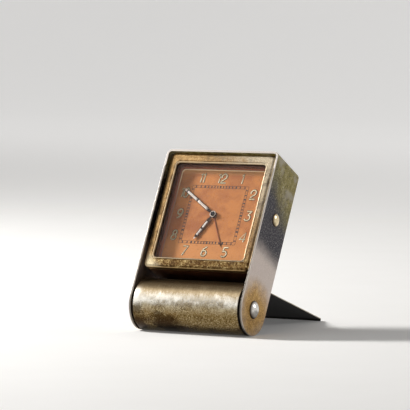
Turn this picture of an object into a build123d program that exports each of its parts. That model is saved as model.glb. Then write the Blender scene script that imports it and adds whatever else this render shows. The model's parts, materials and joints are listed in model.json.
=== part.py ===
from build123d import *
import os
from math import acos, asin, atan2, cos, degrees, hypot, radians, sin

# Folding travel alarm clock (pendulette). A bent strap carries a square clock case between its legs. A cover,
# half tube and half flat plate, turns on two rivets in the strap's round ends: opened, its plate is the foot
# that the clock leans back on, and closed, the plate lies over the dial.
# Millimetres. The clock is drawn upright about the hinge axis: X to the right, Y to the back, Z up along the
# strap. It is leaned back by its real angle only when it is written.

# Strap
strap_width = 45.0
strap_sheet = 0.8
strap_end_radius = 9.1
strap_height = 56.8
strap_corner_radius = 2.0

# Hinge rivets, in the strap's round ends, and their washers
rivet_head_radius = 3.25
rivet_head_height = 1.5
rivet_shank_radius = 1.25
rivet_tail_radius = 2.1
rivet_tail_height = 0.8
hinge_clearance = 0.05
washer_radius = 3.2
fit_clearance = 0.02

# Side pins, which hold the case in the strap, and their spacers
pin_height = 34.4
pin_head_radius = 2.5
pin_head_height = 1.0
pin_shank_radius = 0.9
pin_end_length = 0.5
spacer_radius = 2.2

# Cover
cover_radius = 9.2
cover_sheet = 0.55
cover_side_gap = 0.9
cover_plate_length = 55.7
cover_lip = 1.1
cover_corner_round = 0.4
tube_span = 205.0
cheek_thickness = 1.0
cheek_lug_radius = 4.2
stop_gap = 0.03

# Case
case_side_gap = 0.8
case_bottom = 11.15
case_wall = 0.7
case_corner_radius = 1.7
bezel_recess = 1.15
lug_size = 4.2

# Bezel, glass and dial surround: depths are behind the bezel's front
bezel_side_width = 2.9
bezel_end_width = 3.9
bezel_skirt = 2.4
bezel_tongue = 1.2
bezel_chamfer_width = 0.9
bezel_chamfer_depth = 0.35
bezel_groove_depth = 0.18
bezel_groove_width = 0.3
bezel_bead_width = 0.5
bezel_bead_bevel = 0.2
aperture_corner_radius = 1.3
glass_depth = 0.7
glass_thickness = 0.9
glass_land = 0.7
glass_corner_cut = 0.9
surround_lean = 0.45

# Dial
dial_depth = 3.5
dial_thickness = 0.35
dial_rim_height = 0.5
dial_rim_width = 0.9
dial_foot_radius = 0.4
dial_foot_side_inset = 6.0
dial_foot_end_inset = 4.025
dial_gap = 1.35

# Movement plates and pillars
main_plate_thickness = 0.9
main_plate_margin = 0.5
main_plate_cut = 1.0
pillar_length = 4.3
pillar_radius = 1.2
pillar_side_inset = 3.4
pillar_end_inset = 2.0
train_plate_thickness = 0.8
train_plate_side_gap = 3.2
train_plate_end_gap = 3.425
train_plate_cut = 2.8
back_clearance = 0.8
back_plate_thickness = 0.6
back_plate_gap = 0.05
back_plate_cut = 1.0
back_screw_head_radius = 1.5
back_screw_head_height = 0.7
back_screw_shank_radius = 0.6
back_screw_slot_width = 0.35
back_screw_slot_depth = 0.3
back_screw_grip = 2.5
back_screw_slot_turn = 45.0

# Running clearances round the arbors
run_clearance = 0.04
end_shake = 0.05

# Teeth, as shares of the module
addendum_share = 0.75
dedendum_share = 1.15

# Shafts that turn are round. Hidden holes and turned pieces are drawn with flats: on small ones, and on drums
# and rims.
arbor_sides = 8
drum_sides = 16

# Motion work, between the dial and the main plate
motion_module = 0.18
motion_thickness = 0.28
motion_gap = 0.12
cannon_teeth = 10
minute_wheel_teeth = 30
minute_pinion_teeth = 8
hour_wheel_teeth = 32
alarm_wheel_teeth = 48
alarm_setter_teeth = 18
minute_wheel_bearing = 90.0
alarm_setter_bearing = 60.0
minute_stud_radius = 0.35
hand_arbor_radius = 0.35
hour_tube_wall = 0.25
alarm_tube_wall = 0.25

# Hands: lengths from the centre, widths, and clock angles in degrees from twelve
minute_hand_length = 16.7
minute_hand_width = 1.15
minute_hand_angle = 304.6
hour_hand_length = 11.3
hour_hand_width = 1.35
hour_hand_angle = 208.4
alarm_hand_length = 13.8
alarm_hand_width = 0.55
alarm_hand_angle = 153.8
hand_thickness = 0.18
hand_gap = 0.12
hand_boss_radius = 1.25
hand_point_length = 1.6
lume_slot_share = 0.5
lume_slots = 2
hand_cap_radius = 0.85
hand_cap_height = 0.45
hand_cap_bevel = 0.25

# Going train and alarm train, between the plates: levels are behind the main plate
centre_pinion_teeth = 10
barrel_module = 0.2
going_barrel_teeth = 66
alarm_barrel_teeth = 54
barrel_level = 0.8
barrel_height = 3.1
barrel_rim_height = 0.45
barrel_wall = 0.3
barrel_tooth_stand = 0.35
barrel_lid = 0.3
barrel_arbor_radius = 0.9
arbor_radius = 0.45
spring_strip = 0.3
spring_turns = 4
spring_runs = 8
spring_margin = 0.2
centre_wheel_teeth = 64
centre_wheel_module = 0.16
centre_wheel_level = 0.3
third_pinion_teeth = 8
third_wheel_teeth = 60
third_wheel_module = 0.15
third_wheel_level = 1.7
fourth_pinion_teeth = 8
fourth_wheel_teeth = 60
fourth_wheel_module = 0.13
fourth_wheel_level = 2.6
escape_pinion_teeth = 6
escape_wheel_teeth = 15
escape_wheel_radius = 2.8
escape_wheel_level = 3.3
ratchet_depth_share = 0.25
ratchet_lean_share = 0.25
wheel_thickness = 0.28
wheel_rim_share = 2.5
wheel_hub_radius = 1.2
wheel_spokes = 4
spoke_width = 0.9
pinion_thickness = 0.5
fine_arbor_radius = 0.2
going_barrel_bearing = 150.0
third_bearing = -60.0
fourth_bearing = -150.0
escape_bearing = -170.0
fork_bearing = 160.0
fork_distance = 3.7
fork_arm = 1.25
fork_tail = 3.5
fork_width = 0.5
pallet_width = 0.3
pallet_gap = 0.2
balance_bearing = -120.0
balance_distance = 4.7
balance_radius = 4.2
balance_rim = 0.6
balance_thickness = 0.5
balance_spokes = 2
balance_level = 0.9
hairspring_strip = 0.12
hairspring_height = 0.22
hairspring_level = 2.0
hairspring_inner_radius = 0.6
hairspring_turns = 5
hairspring_step = 0.42
stud_radius = 0.25
regulator_ring_radius = 1.5
regulator_tail = 5.2
regulator_width = 0.8
regulator_thickness = 0.4
regulator_swing = 20.0
regulator_pin_radius = 0.4
regulator_slot_gap = 0.12
regulator_bearing = 90.0
alarm_barrel_x = 9.6
alarm_barrel_v = 8.2
star_bearing = 120.0
star_pinion_teeth = 8
star_teeth = 12
star_radius = 2.2
hammer_bearing = 160.0
hammer_distance = 3.8
hammer_arm_width = 0.7
hammer_arm_length = 7.2
hammer_head_radius = 1.0
hammer_head_height = 2.2
hammer_anchor = 1.3

# Keys and knobs on the back
key_gap = 0.3
key_hub_radius = 1.3
key_hub_height = 1.1
key_wing_width = 8.4
key_wing_height = 2.5
key_wing_thickness = 0.65
key_hole_radius = 0.75
time_knob_radius = 2.4
alarm_knob_radius = 2.1
knob_height = 2.4
knob_ridges = 18
knob_ridge_depth = 0.25
knob_cap_height = 0.35
knob_cap_step = 0.15

# Sizes worked out from the ones above
half_strap = strap_width / 2
strap_inside = half_strap - strap_sheet
strap_roof = strap_height - strap_sheet
cover_half = strap_inside - cover_side_gap
case_half = strap_inside - case_side_gap
case_half_height = (strap_roof - case_bottom) / 2
case_middle = (strap_roof + case_bottom) / 2
bezel_front = -strap_end_radius + bezel_recess
case_depth = strap_end_radius - bezel_front
inside_half = case_half - case_wall
inside_half_height = case_half_height - case_wall
aperture_half = case_half - bezel_side_width
aperture_half_height = case_half_height - bezel_end_width
dial_foot_x = aperture_half - dial_foot_side_inset
dial_foot_v = aperture_half_height - dial_foot_end_inset
train_plate_half_width = inside_half - train_plate_side_gap
train_plate_half_height = inside_half_height - train_plate_end_gap
pillar_x = train_plate_half_width - pillar_side_inset
pillar_v = train_plate_half_height - pillar_end_inset
glass_back = glass_depth + glass_thickness
dial_rim_front = dial_depth - dial_rim_height
dial_back = dial_depth + dial_thickness
main_plate_front = dial_back + dial_gap
main_plate_back = main_plate_front + main_plate_thickness
train_plate_front = main_plate_back + pillar_length
train_plate_back = train_plate_front + train_plate_thickness
back_plate_front = train_plate_back + back_clearance
back_plate_back = back_plate_front + back_plate_thickness
hairspring_outer = hairspring_inner_radius + hairspring_turns * hairspring_step

# The plate's end rests on the table beside the tube, and the case's rear lower edge rests on the plate.
plate_reach = hypot(cover_plate_length, cover_radius - cover_lip)
plate_pitch = degrees(atan2(cover_radius - cover_lip, cover_plate_length) + asin(cover_radius / plate_reach))
stop_reach = hypot(case_bottom, strap_end_radius)
stop_angle = acos((cover_radius + stop_gap) / stop_reach) - atan2(strap_end_radius, case_bottom)
lean = plate_pitch + degrees(stop_angle)
closing_angle = 270.0 + degrees(stop_angle)

# The model's origin is under the middle of everything, on the table.
rear_end = cover_radius * sin(radians(plate_pitch)) + cover_plate_length * cos(radians(plate_pitch))
front_end = -max(cover_radius, strap_end_radius)
hinge_y = -(rear_end + front_end) / 2
hinge_z = max(cover_radius, strap_end_radius)

parts = {}


def keep(name, shape):
    """Leans a piece of the clock back and stores it under its name."""
    parts[name] = Pos(0, hinge_y, hinge_z) * Rot(-lean, 0, 0) * shape


def keep_group(name, shapes):
    """Stores several separate solids of the clock under one name."""
    parts[name] = Compound(children=[Pos(0, hinge_y, hinge_z) * Rot(-lean, 0, 0) * shape for shape in shapes])


def keep_cover(name, shape):
    """Pitches a piece of the cover down to the table and stores it under its name."""
    parts[name] = Pos(0, hinge_y, hinge_z) * Rot(-plate_pitch, 0, 0) * shape


def behind(depth, x=0, v=0):
    """The plane parallel to the dial at a depth behind the bezel's front, facing the viewer."""
    return Plane(origin=(x, bezel_front + depth, case_middle + v), x_dir=(1, 0, 0), z_dir=(0, -1, 0))


def sideways(sign, x, height=0):
    """The plane square to the hinge axis at a place along it, facing out to one side."""
    return Plane(origin=(sign * x, 0, height), x_dir=(0, 1, 0), z_dir=(sign, 0, 0))


def layer(sketch, depth, thickness, x=0, v=0):
    """A sketch in the dial's plane made a sheet that runs back from a depth."""
    return extrude(behind(depth, x, v) * sketch, amount=-thickness)


def shaft(radius, depth, length, x=0, v=0):
    """A round shaft, square to the dial."""
    return layer(Circle(radius), depth, length, x, v)


def staff(at):
    """A fine wheel's staff from plate to plate, with a round rear pivot."""
    length = train_plate_front - main_plate_front
    body = layer(RegularPolygon(fine_arbor_radius, arbor_sides), main_plate_front, length, *at)
    return body + shaft(fine_arbor_radius, train_plate_front, train_plate_thickness, *at)


def turned(radius, sides, depth, thickness, x=0, v=0):
    """A hidden round piece, drawn with flats inside its radius."""
    return layer(RegularPolygon(radius, sides), depth, thickness, x, v)


def bore(radius, sides, depth, thickness, x=0, v=0):
    """A hole for a round piece, drawn with flats outside its radius."""
    return layer(RegularPolygon(radius, sides, major_radius=False), depth, thickness, x, v)


def rounded_box(half_width, half_height, radius):
    """A rectangle with round corners."""
    return RectangleRounded(2 * half_width, 2 * half_height, radius)


def cut_box(half_width, half_height, cut):
    """A rectangle with cut corners, for outlines that lie hidden."""
    return chamfer(Rectangle(2 * half_width, 2 * half_height).vertices(), cut)


def polar(radius, angle):
    """A point at an angle in degrees from +X."""
    return (radius * cos(radians(angle)), radius * sin(radians(angle)))


def clock_turn(angle):
    """Turns a sketch drawn towards twelve to a clock angle."""
    return Rot(0, 0, -angle)


def toothed(module, teeth, phase=0):
    """The outline of a wheel with pointed teeth, one of them centred on the phase angle."""
    pitch_radius = module * teeth / 2
    corners = []
    for tooth in range(teeth):
        middle = phase + tooth * 360 / teeth
        corners.append(polar(pitch_radius + addendum_share * module, middle))
        corners.append(polar(pitch_radius - dedendum_share * module, middle + 180 / teeth))
    return make_face(Polyline(corners, close=True))


def meshing_phase(bearing, driver_teeth, driver_phase, driven_teeth):
    """The phase that puts a gap of the driven wheel against the driver's tooth on their line of centres."""
    driver_share = (bearing - driver_phase) * driver_teeth / 360
    driven_share = 0.5 - driver_share
    return bearing + 180 - driven_share * 360 / driven_teeth


def crossings(radius, hub, spokes, width):
    """The windows that leave a wheel its spokes."""
    ring = RegularPolygon(radius, drum_sides) - RegularPolygon(hub, arbor_sides)
    for spoke in range(spokes):
        ring -= Rot(0, 0, spoke * 360 / spokes) * Pos(radius / 2, 0) * Rectangle(2 * radius, width)
    return ring


def step_from(start, bearing, distance):
    """The centre that lies at a bearing and a distance from another."""
    x, v = polar(distance, bearing)
    return (start[0] + x, start[1] + v)


def spiral(inner_radius, pitch, turns, width):
    """A flat spring's outline: a strip that winds outwards in short straight runs."""
    inner_side = []
    outer_side = []
    for run in range(turns * spring_runs + 1):
        radius = inner_radius + run * pitch / spring_runs
        angle = run * 360 / spring_runs
        inner_side.append(polar(radius, angle))
        outer_side.append(polar(radius + width, angle))
    return make_face(Polyline(inner_side + outer_side[::-1], close=True))


# Centres of the wheels in the dial's plane, from the sizes of what meshes
centre = (0, 0)
barrel_distance = barrel_module * (going_barrel_teeth + centre_pinion_teeth) / 2
going_barrel_at = step_from(centre, going_barrel_bearing, barrel_distance)
third_distance = centre_wheel_module * (centre_wheel_teeth + third_pinion_teeth) / 2
third_at = step_from(centre, third_bearing, third_distance)
fourth_distance = third_wheel_module * (third_wheel_teeth + fourth_pinion_teeth) / 2
fourth_at = step_from(third_at, fourth_bearing, fourth_distance)
escape_distance = fourth_wheel_module * (fourth_wheel_teeth + escape_pinion_teeth) / 2
escape_at = step_from(fourth_at, escape_bearing, escape_distance)
fork_at = step_from(escape_at, fork_bearing, fork_distance)
balance_at = step_from(fork_at, balance_bearing, balance_distance)
alarm_barrel_at = (alarm_barrel_x, alarm_barrel_v)
star_distance = barrel_module * (alarm_barrel_teeth + star_pinion_teeth) / 2
star_at = step_from(alarm_barrel_at, star_bearing, star_distance)
hammer_at = step_from(star_at, hammer_bearing, hammer_distance)
minute_distance = motion_module * (cannon_teeth + minute_wheel_teeth) / 2
minute_at = step_from(centre, minute_wheel_bearing, minute_distance)
setter_distance = motion_module * (alarm_wheel_teeth + alarm_setter_teeth) / 2
setter_at = step_from(centre, alarm_setter_bearing, setter_distance)

pillar_centres = [(x_side * pillar_x, v_side * pillar_v) for x_side in (-1, 1) for v_side in (-1, 1)]

# Levels of the motion work and of the hands, as depths behind the bezel's front
alarm_wheel_depth = dial_back + motion_gap
hour_wheel_depth = alarm_wheel_depth + motion_thickness + motion_gap
cannon_depth = hour_wheel_depth + motion_thickness + motion_gap
alarm_hand_depth = dial_depth - hand_gap - hand_thickness
hour_hand_depth = alarm_hand_depth - hand_gap - hand_thickness
minute_hand_depth = hour_hand_depth - hand_gap - hand_thickness
hour_bore = hand_arbor_radius + run_clearance
hour_tube_radius = hour_bore + hour_tube_wall
alarm_bore = hour_tube_radius + run_clearance
alarm_tube_radius = alarm_bore + alarm_tube_wall
key_depth = back_plate_back + key_gap


def make_strap():
    """The bent strap: a U of sheet, its legs' lower ends round about the hinge."""
    front = rounded_box(half_strap, strap_height, strap_corner_radius)
    inner_radius = strap_corner_radius - strap_sheet
    front -= rounded_box(strap_inside, strap_roof, inner_radius)
    full_height = strap_height + strap_end_radius
    front &= Pos(0, strap_height - full_height / 2) * Rectangle(strap_width, full_height)
    bent = extrude(Plane.XZ * front, amount=strap_end_radius, both=True)
    side = Circle(strap_end_radius) + Pos(0, strap_height / 2) * Rectangle(2 * strap_end_radius, strap_height)
    strap = bent & extrude(Plane.YZ * side, amount=strap_width, both=True)
    rivet_hole = RegularPolygon(rivet_shank_radius + fit_clearance, drum_sides, major_radius=False)
    strap -= extrude(Plane.YZ * rivet_hole, amount=strap_width, both=True)
    pin_hole = RegularPolygon(pin_shank_radius + fit_clearance, arbor_sides, major_radius=False)
    pin_hole = sideways(1, 0, pin_height) * pin_hole
    strap -= extrude(pin_hole, amount=strap_width, both=True)
    keep("strap_frame", strap)


def dome(radius, height):
    """A rivet's domed head, standing on Z = 0."""
    ball_radius = (radius * radius + height * height) / (2 * height)
    half_turn = asin(radius / ball_radius) / 2
    shoulder = (ball_radius * sin(half_turn), height - ball_radius + ball_radius * cos(half_turn))
    with BuildSketch(Plane.XZ) as half_section:
        with BuildLine():
            ThreePointArc((0, height), shoulder, (radius, 0))
            Polyline((radius, 0), (0, 0), (0, height))
        make_face()
    return revolve(half_section.sketch, Axis.Z)


def make_side_fastenings(side, sign):
    """One side's hinge rivet and washer, and its case pin and spacer."""
    head = sideways(sign, half_strap)
    cheek_inside = cover_half - cheek_thickness - hinge_clearance
    rivet = head * dome(rivet_head_radius, rivet_head_height)
    shank_length = half_strap - cheek_inside + rivet_tail_height
    rivet += extrude(head * Circle(rivet_shank_radius), amount=-shank_length)
    tail = sideways(sign, cheek_inside) * RegularPolygon(rivet_tail_radius, drum_sides)
    rivet += extrude(tail, amount=-rivet_tail_height)
    keep("hinge_rivet_" + side, rivet)

    washer = RegularPolygon(washer_radius, drum_sides)
    washer -= RegularPolygon(rivet_shank_radius + fit_clearance, drum_sides, major_radius=False)
    keep("hinge_washer_" + side,
         extrude(sideways(sign, strap_inside) * washer, amount=-(cover_side_gap - hinge_clearance)))

    pin_head = sideways(sign, half_strap, pin_height)
    pin = pin_head * dome(pin_head_radius, pin_head_height)
    pin_length = half_strap - inside_half + pin_end_length
    pin += extrude(pin_head * RegularPolygon(pin_shank_radius, arbor_sides), amount=-pin_length)
    keep("case_pin_" + side, pin)

    spacer = RegularPolygon(spacer_radius, drum_sides)
    spacer -= RegularPolygon(pin_shank_radius + fit_clearance, arbor_sides, major_radius=False)
    spacer = sideways(sign, strap_inside, pin_height) * spacer
    keep("case_spacer_" + side, extrude(spacer, amount=-case_side_gap))


def make_cover():
    """The cover: one bent sheet, from the tube round the hinge to the flat plate and its turned lip."""
    inner = cover_radius - cover_sheet
    end = 90 + tube_span
    with BuildSketch(Plane.YZ) as outline:
        with BuildLine():
            CenterArc((0, 0), cover_radius, 90, tube_span)
            Line(polar(cover_radius, end), polar(inner, end))
            CenterArc((0, 0), inner, end, -tube_span)
            Polyline((0, inner), (cover_plate_length - cover_sheet, inner),
                     (cover_plate_length - cover_sheet, cover_radius - cover_lip),
                     (cover_plate_length, cover_radius - cover_lip),
                     (cover_plate_length, cover_radius), (0, cover_radius))
        make_face()
    sheet = extrude(outline.sketch, amount=cover_half, both=True)
    bend = sheet.edges().filter_by(Axis.X).sort_by(SortBy.DISTANCE)[-1]
    keep_cover("cover_shell", fillet(bend, cover_corner_round))

    for side, sign in (("left", -1), ("right", 1)):
        disc_face = Circle(inner - fit_clearance)
        start = polar(2 * cover_radius, 90)
        stop = polar(2 * cover_radius, end)
        far = polar(4 * cover_radius, 90 + tube_span / 2)
        wedge = make_face(Polyline((0, 0), start, far, stop, close=True))
        web = Plane.YZ * ((disc_face & wedge) + Circle(cheek_lug_radius))
        web -= Plane.YZ * RegularPolygon(rivet_shank_radius + hinge_clearance, drum_sides, major_radius=False)
        cheek = extrude(web, amount=sign * cheek_thickness)
        keep_cover("cover_cheek_" + side, Pos(sign * (cover_half - cheek_thickness), 0, 0) * cheek)


def make_case():
    """The case: a square band with corner lugs inside, which the movement and the back are drawn against."""
    outer = rounded_box(case_half, case_half_height, case_corner_radius)
    inner = cut_box(inside_half, inside_half_height, case_corner_radius - case_wall)
    band = layer(outer - inner, bezel_skirt, case_depth - bezel_skirt)
    lug_side = lug_size + case_wall
    lug_depth = back_plate_front - main_plate_back
    for x_side in (-1, 1):
        for v_side in (-1, 1):
            x = x_side * (case_half - lug_side / 2)
            v = v_side * (case_half_height - lug_side / 2)
            block = Rectangle(lug_side, lug_side) & (Pos(-x, -v) * outer)
            band += layer(block, main_plate_back, lug_depth, x, v)
    for sign in (-1, 1):
        pin_hole = RegularPolygon(pin_shank_radius + fit_clearance, arbor_sides, major_radius=False)
        band -= extrude(sideways(sign, 0, pin_height) * pin_hole, amount=half_strap)
    keep("case_band", band)


def make_bezel():
    """The bezel: a stamped square frame, chamfered outside, with a bead round its opening."""
    outer = rounded_box(case_half, case_half_height, case_corner_radius)
    opening = rounded_box(aperture_half, aperture_half_height, aperture_corner_radius)
    bezel = layer(outer, 0, bezel_skirt)
    front_edges = bezel.edges().group_by(Axis.Y)[0]
    bezel = chamfer(front_edges, bezel_chamfer_depth, bezel_chamfer_width)
    tongue = cut_box(inside_half - fit_clearance, inside_half_height - fit_clearance,
                     case_corner_radius - case_wall)
    bezel += layer(tongue, bezel_skirt, bezel_tongue)
    bezel -= layer(opening, 0, bezel_skirt + bezel_tongue)
    rim_edges = [edge for edge in bezel.edges().group_by(Axis.Y)[0]
                 if abs(edge.center().X) <= aperture_half + fit_clearance
                 and abs(edge.center().Z - case_middle) <= aperture_half_height + fit_clearance]
    bezel = chamfer(rim_edges, bezel_bead_bevel)
    seat_half = aperture_half + glass_land
    seat_half_height = aperture_half_height + glass_land
    seat = cut_box(seat_half, seat_half_height, glass_corner_cut)
    bezel -= layer(seat, glass_depth, bezel_skirt + bezel_tongue)
    bead_out = bezel_bead_width + bezel_groove_width
    groove = rounded_box(aperture_half + bead_out, aperture_half_height + bead_out,
                         aperture_corner_radius + bead_out)
    groove -= rounded_box(aperture_half + bezel_bead_width, aperture_half_height + bezel_bead_width,
                          aperture_corner_radius + bezel_bead_width)
    bezel -= layer(groove, 0, bezel_groove_depth)
    keep("bezel", bezel)

    glass_half = seat_half - fit_clearance
    glass_half_height = seat_half_height - fit_clearance
    glass = cut_box(glass_half, glass_half_height, glass_corner_cut)
    keep("glass", layer(glass, glass_depth, glass_thickness))

    frame_depth = dial_rim_front - glass_back
    front_opening = rounded_box(aperture_half, aperture_half_height, aperture_corner_radius)
    rear_opening = rounded_box(aperture_half - surround_lean, aperture_half_height - surround_lean,
                               aperture_corner_radius)
    surround = layer(glass, glass_back, frame_depth)
    surround -= loft([behind(glass_back) * front_opening, behind(dial_rim_front) * rear_opening])
    keep("dial_surround", surround)


def make_dial():
    """The dial: a flat plate with a bevelled raised rim and two feet that pass into the main plate."""
    rim_half = aperture_half - surround_lean
    rim_half_height = aperture_half_height - surround_lean
    outside = cut_box(rim_half + glass_land, rim_half_height + glass_land, glass_corner_cut)
    dial = layer(outside, dial_rim_front, dial_back - dial_rim_front)
    rim_front = rounded_box(rim_half, rim_half_height, aperture_corner_radius)
    rim_back = rounded_box(rim_half - dial_rim_width, rim_half_height - dial_rim_width,
                           aperture_corner_radius)
    dial -= loft([behind(dial_rim_front) * rim_front, behind(dial_depth) * rim_back])
    dial -= bore(alarm_tube_radius + run_clearance, drum_sides, dial_rim_front, dial_back)
    foot_length = main_plate_back - dial_back
    for sign in (-1, 1):
        dial += turned(dial_foot_radius, arbor_sides, dial_back, foot_length,
                       sign * dial_foot_x, sign * dial_foot_v)
    keep("dial", dial)


def arbor_holes(plate, depth, thickness, holes):
    """Bores a plate for arbors given as centre and radius."""
    for (x, v), radius in holes:
        plate -= bore(radius + run_clearance, arbor_sides, depth, thickness, x, v)
    return plate


def make_plates():
    """The movement's two plates and the pillars between them, and the case's back plate."""
    outline = cut_box(inside_half - main_plate_margin, inside_half_height - main_plate_margin, main_plate_cut)
    main = layer(outline, main_plate_front, main_plate_thickness)
    fine_centres = (third_at, fourth_at, escape_at, fork_at, balance_at, star_at, hammer_at)
    fine = [(at, fine_arbor_radius) for at in fine_centres]
    main = arbor_holes(main, main_plate_front, main_plate_thickness, [
        (centre, hand_arbor_radius), (setter_at, arbor_radius),
        (going_barrel_at, arbor_radius), (alarm_barrel_at, arbor_radius)] + fine)
    for sign in (-1, 1):
        main -= bore(dial_foot_radius + fit_clearance, arbor_sides, main_plate_front, main_plate_thickness,
                     sign * dial_foot_x, sign * dial_foot_v)
    stud_top = cannon_depth - motion_gap - motion_thickness
    main += shaft(minute_stud_radius, stud_top, main_plate_front - stud_top, *minute_at)
    keep("main_plate", main)

    outline = cut_box(train_plate_half_width, train_plate_half_height, train_plate_cut)
    train = layer(outline, train_plate_front, train_plate_thickness)
    train = arbor_holes(train, train_plate_front, train_plate_thickness, [
        (centre, arbor_radius), (setter_at, arbor_radius),
        (going_barrel_at, barrel_arbor_radius), (alarm_barrel_at, barrel_arbor_radius)] + fine)
    stud_at = step_from(balance_at, 0, hairspring_outer + hairspring_strip + stud_radius)
    stud_front = main_plate_back + hairspring_level
    train += turned(stud_radius, arbor_sides, stud_front, train_plate_front - stud_front, *stud_at)
    pillars = []
    screw_hole = back_screw_shank_radius + fit_clearance
    grip = train_plate_front - back_screw_grip
    for x, v in pillar_centres:
        train -= bore(screw_hole, arbor_sides, train_plate_front, train_plate_thickness, x, v)
        pillar = turned(pillar_radius, arbor_sides, main_plate_back, pillar_length, x, v)
        pillar -= bore(back_screw_shank_radius, arbor_sides, grip, back_screw_grip, x, v)
        pillars.append(pillar)
    keep("train_plate", train)
    keep_group("plate_pillars", pillars)


def hand_blade(length, width):
    """A baton hand towards twelve, pointed at its tip, with open slots for the luminous filling."""
    half = width / 2
    neck = half / 2
    shoulder = hand_boss_radius + width
    top = length - hand_point_length
    with BuildSketch() as blade:
        with BuildLine():
            Polyline((-neck, 0), (-neck, hand_boss_radius), (-half, shoulder), (-half, top), (0, length),
                     (half, top), (half, shoulder), (neck, hand_boss_radius), (neck, 0), close=True)
        make_face()
    hand = blade.sketch
    bottom = shoulder + half / 2
    run = (top - bottom) / lume_slots
    slot_width = lume_slot_share * width
    for slot in range(lume_slots):
        middle = bottom + slot * run + run / 2
        hand -= Pos(0, middle) * Rectangle(slot_width, run - half)
    return hand


def make_hands():
    """The hour, minute and alarm hands, each with its boss, and the cap over them."""
    hour = RegularPolygon(hand_boss_radius, drum_sides)
    hour += clock_turn(hour_hand_angle) * hand_blade(hour_hand_length, hour_hand_width)
    hour -= RegularPolygon(hour_tube_radius, arbor_sides, major_radius=False)
    keep("hour_hand", layer(hour, hour_hand_depth, hand_thickness))
    minute = RegularPolygon(hand_boss_radius, drum_sides)
    minute += clock_turn(minute_hand_angle) * hand_blade(minute_hand_length, minute_hand_width)
    minute -= RegularPolygon(hand_arbor_radius, arbor_sides, major_radius=False)
    keep("minute_hand", layer(minute, minute_hand_depth, hand_thickness))

    half = alarm_hand_width / 2
    tip = alarm_hand_length
    barb = tip - hand_point_length
    with BuildSketch() as arrow:
        with BuildLine():
            Polyline((-half / 2, 0), (-half / 2, barb), (-half, barb), (0, tip), (half, barb),
                     (half / 2, barb), (half / 2, 0), close=True)
        make_face()
    alarm = RegularPolygon(hand_boss_radius, drum_sides) + clock_turn(alarm_hand_angle) * arrow.sketch
    alarm -= RegularPolygon(alarm_tube_radius, arbor_sides, major_radius=False)
    keep("alarm_hand", layer(alarm, alarm_hand_depth, hand_thickness))

    cap = turned(hand_cap_radius, drum_sides, minute_hand_depth - hand_cap_height, hand_cap_height)
    keep("hand_cap", chamfer(cap.edges().group_by(Axis.Y)[0], hand_cap_bevel))


def make_motion_work():
    """The centre arbor with its cannon pinion, and the minute, hour and alarm wheels under the dial."""
    cannon_phase = 0
    arbor = layer(toothed(motion_module, cannon_teeth, cannon_phase), cannon_depth, motion_thickness)
    shoulder = main_plate_back + end_shake
    arbor += turned(hand_arbor_radius, arbor_sides, minute_hand_depth, shoulder - minute_hand_depth)
    arbor += shaft(arbor_radius, shoulder, key_depth - shoulder)
    keep("centre_arbor", arbor)

    minute_phase = meshing_phase(minute_wheel_bearing, cannon_teeth, cannon_phase, minute_wheel_teeth)
    minute = layer(toothed(motion_module, minute_wheel_teeth, minute_phase), cannon_depth, motion_thickness,
                   *minute_at)
    pinion = toothed(motion_module, minute_pinion_teeth, 0)
    minute += layer(pinion, hour_wheel_depth, cannon_depth - hour_wheel_depth, *minute_at)
    minute -= bore(minute_stud_radius + run_clearance, arbor_sides, hour_wheel_depth,
                   main_plate_front - hour_wheel_depth, *minute_at)
    keep("minute_wheel", minute)

    hour_phase = meshing_phase(minute_wheel_bearing + 180, minute_pinion_teeth, 0, hour_wheel_teeth)
    hour = layer(toothed(motion_module, hour_wheel_teeth, hour_phase), hour_wheel_depth, motion_thickness)
    hour += shaft(hour_tube_radius, hour_hand_depth, hour_wheel_depth - hour_hand_depth)
    hour -= bore(hour_bore, arbor_sides, hour_hand_depth, cannon_depth - hour_hand_depth)
    keep("hour_wheel", hour)

    alarm = layer(toothed(motion_module, alarm_wheel_teeth, 0), alarm_wheel_depth, motion_thickness)
    alarm += shaft(alarm_tube_radius, alarm_hand_depth, alarm_wheel_depth - alarm_hand_depth)
    alarm -= bore(alarm_bore, arbor_sides, alarm_hand_depth, hour_wheel_depth - alarm_hand_depth)
    keep("alarm_wheel", alarm)

    setter_phase = meshing_phase(alarm_setter_bearing, alarm_wheel_teeth, 0, alarm_setter_teeth)
    setter_outline = toothed(motion_module, alarm_setter_teeth, setter_phase)
    setter = layer(setter_outline, alarm_wheel_depth, motion_thickness, *setter_at)
    setter_back = alarm_wheel_depth + motion_thickness
    setter += shaft(arbor_radius, setter_back, key_depth - setter_back, *setter_at)
    keep("alarm_set_arbor", setter)


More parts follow.
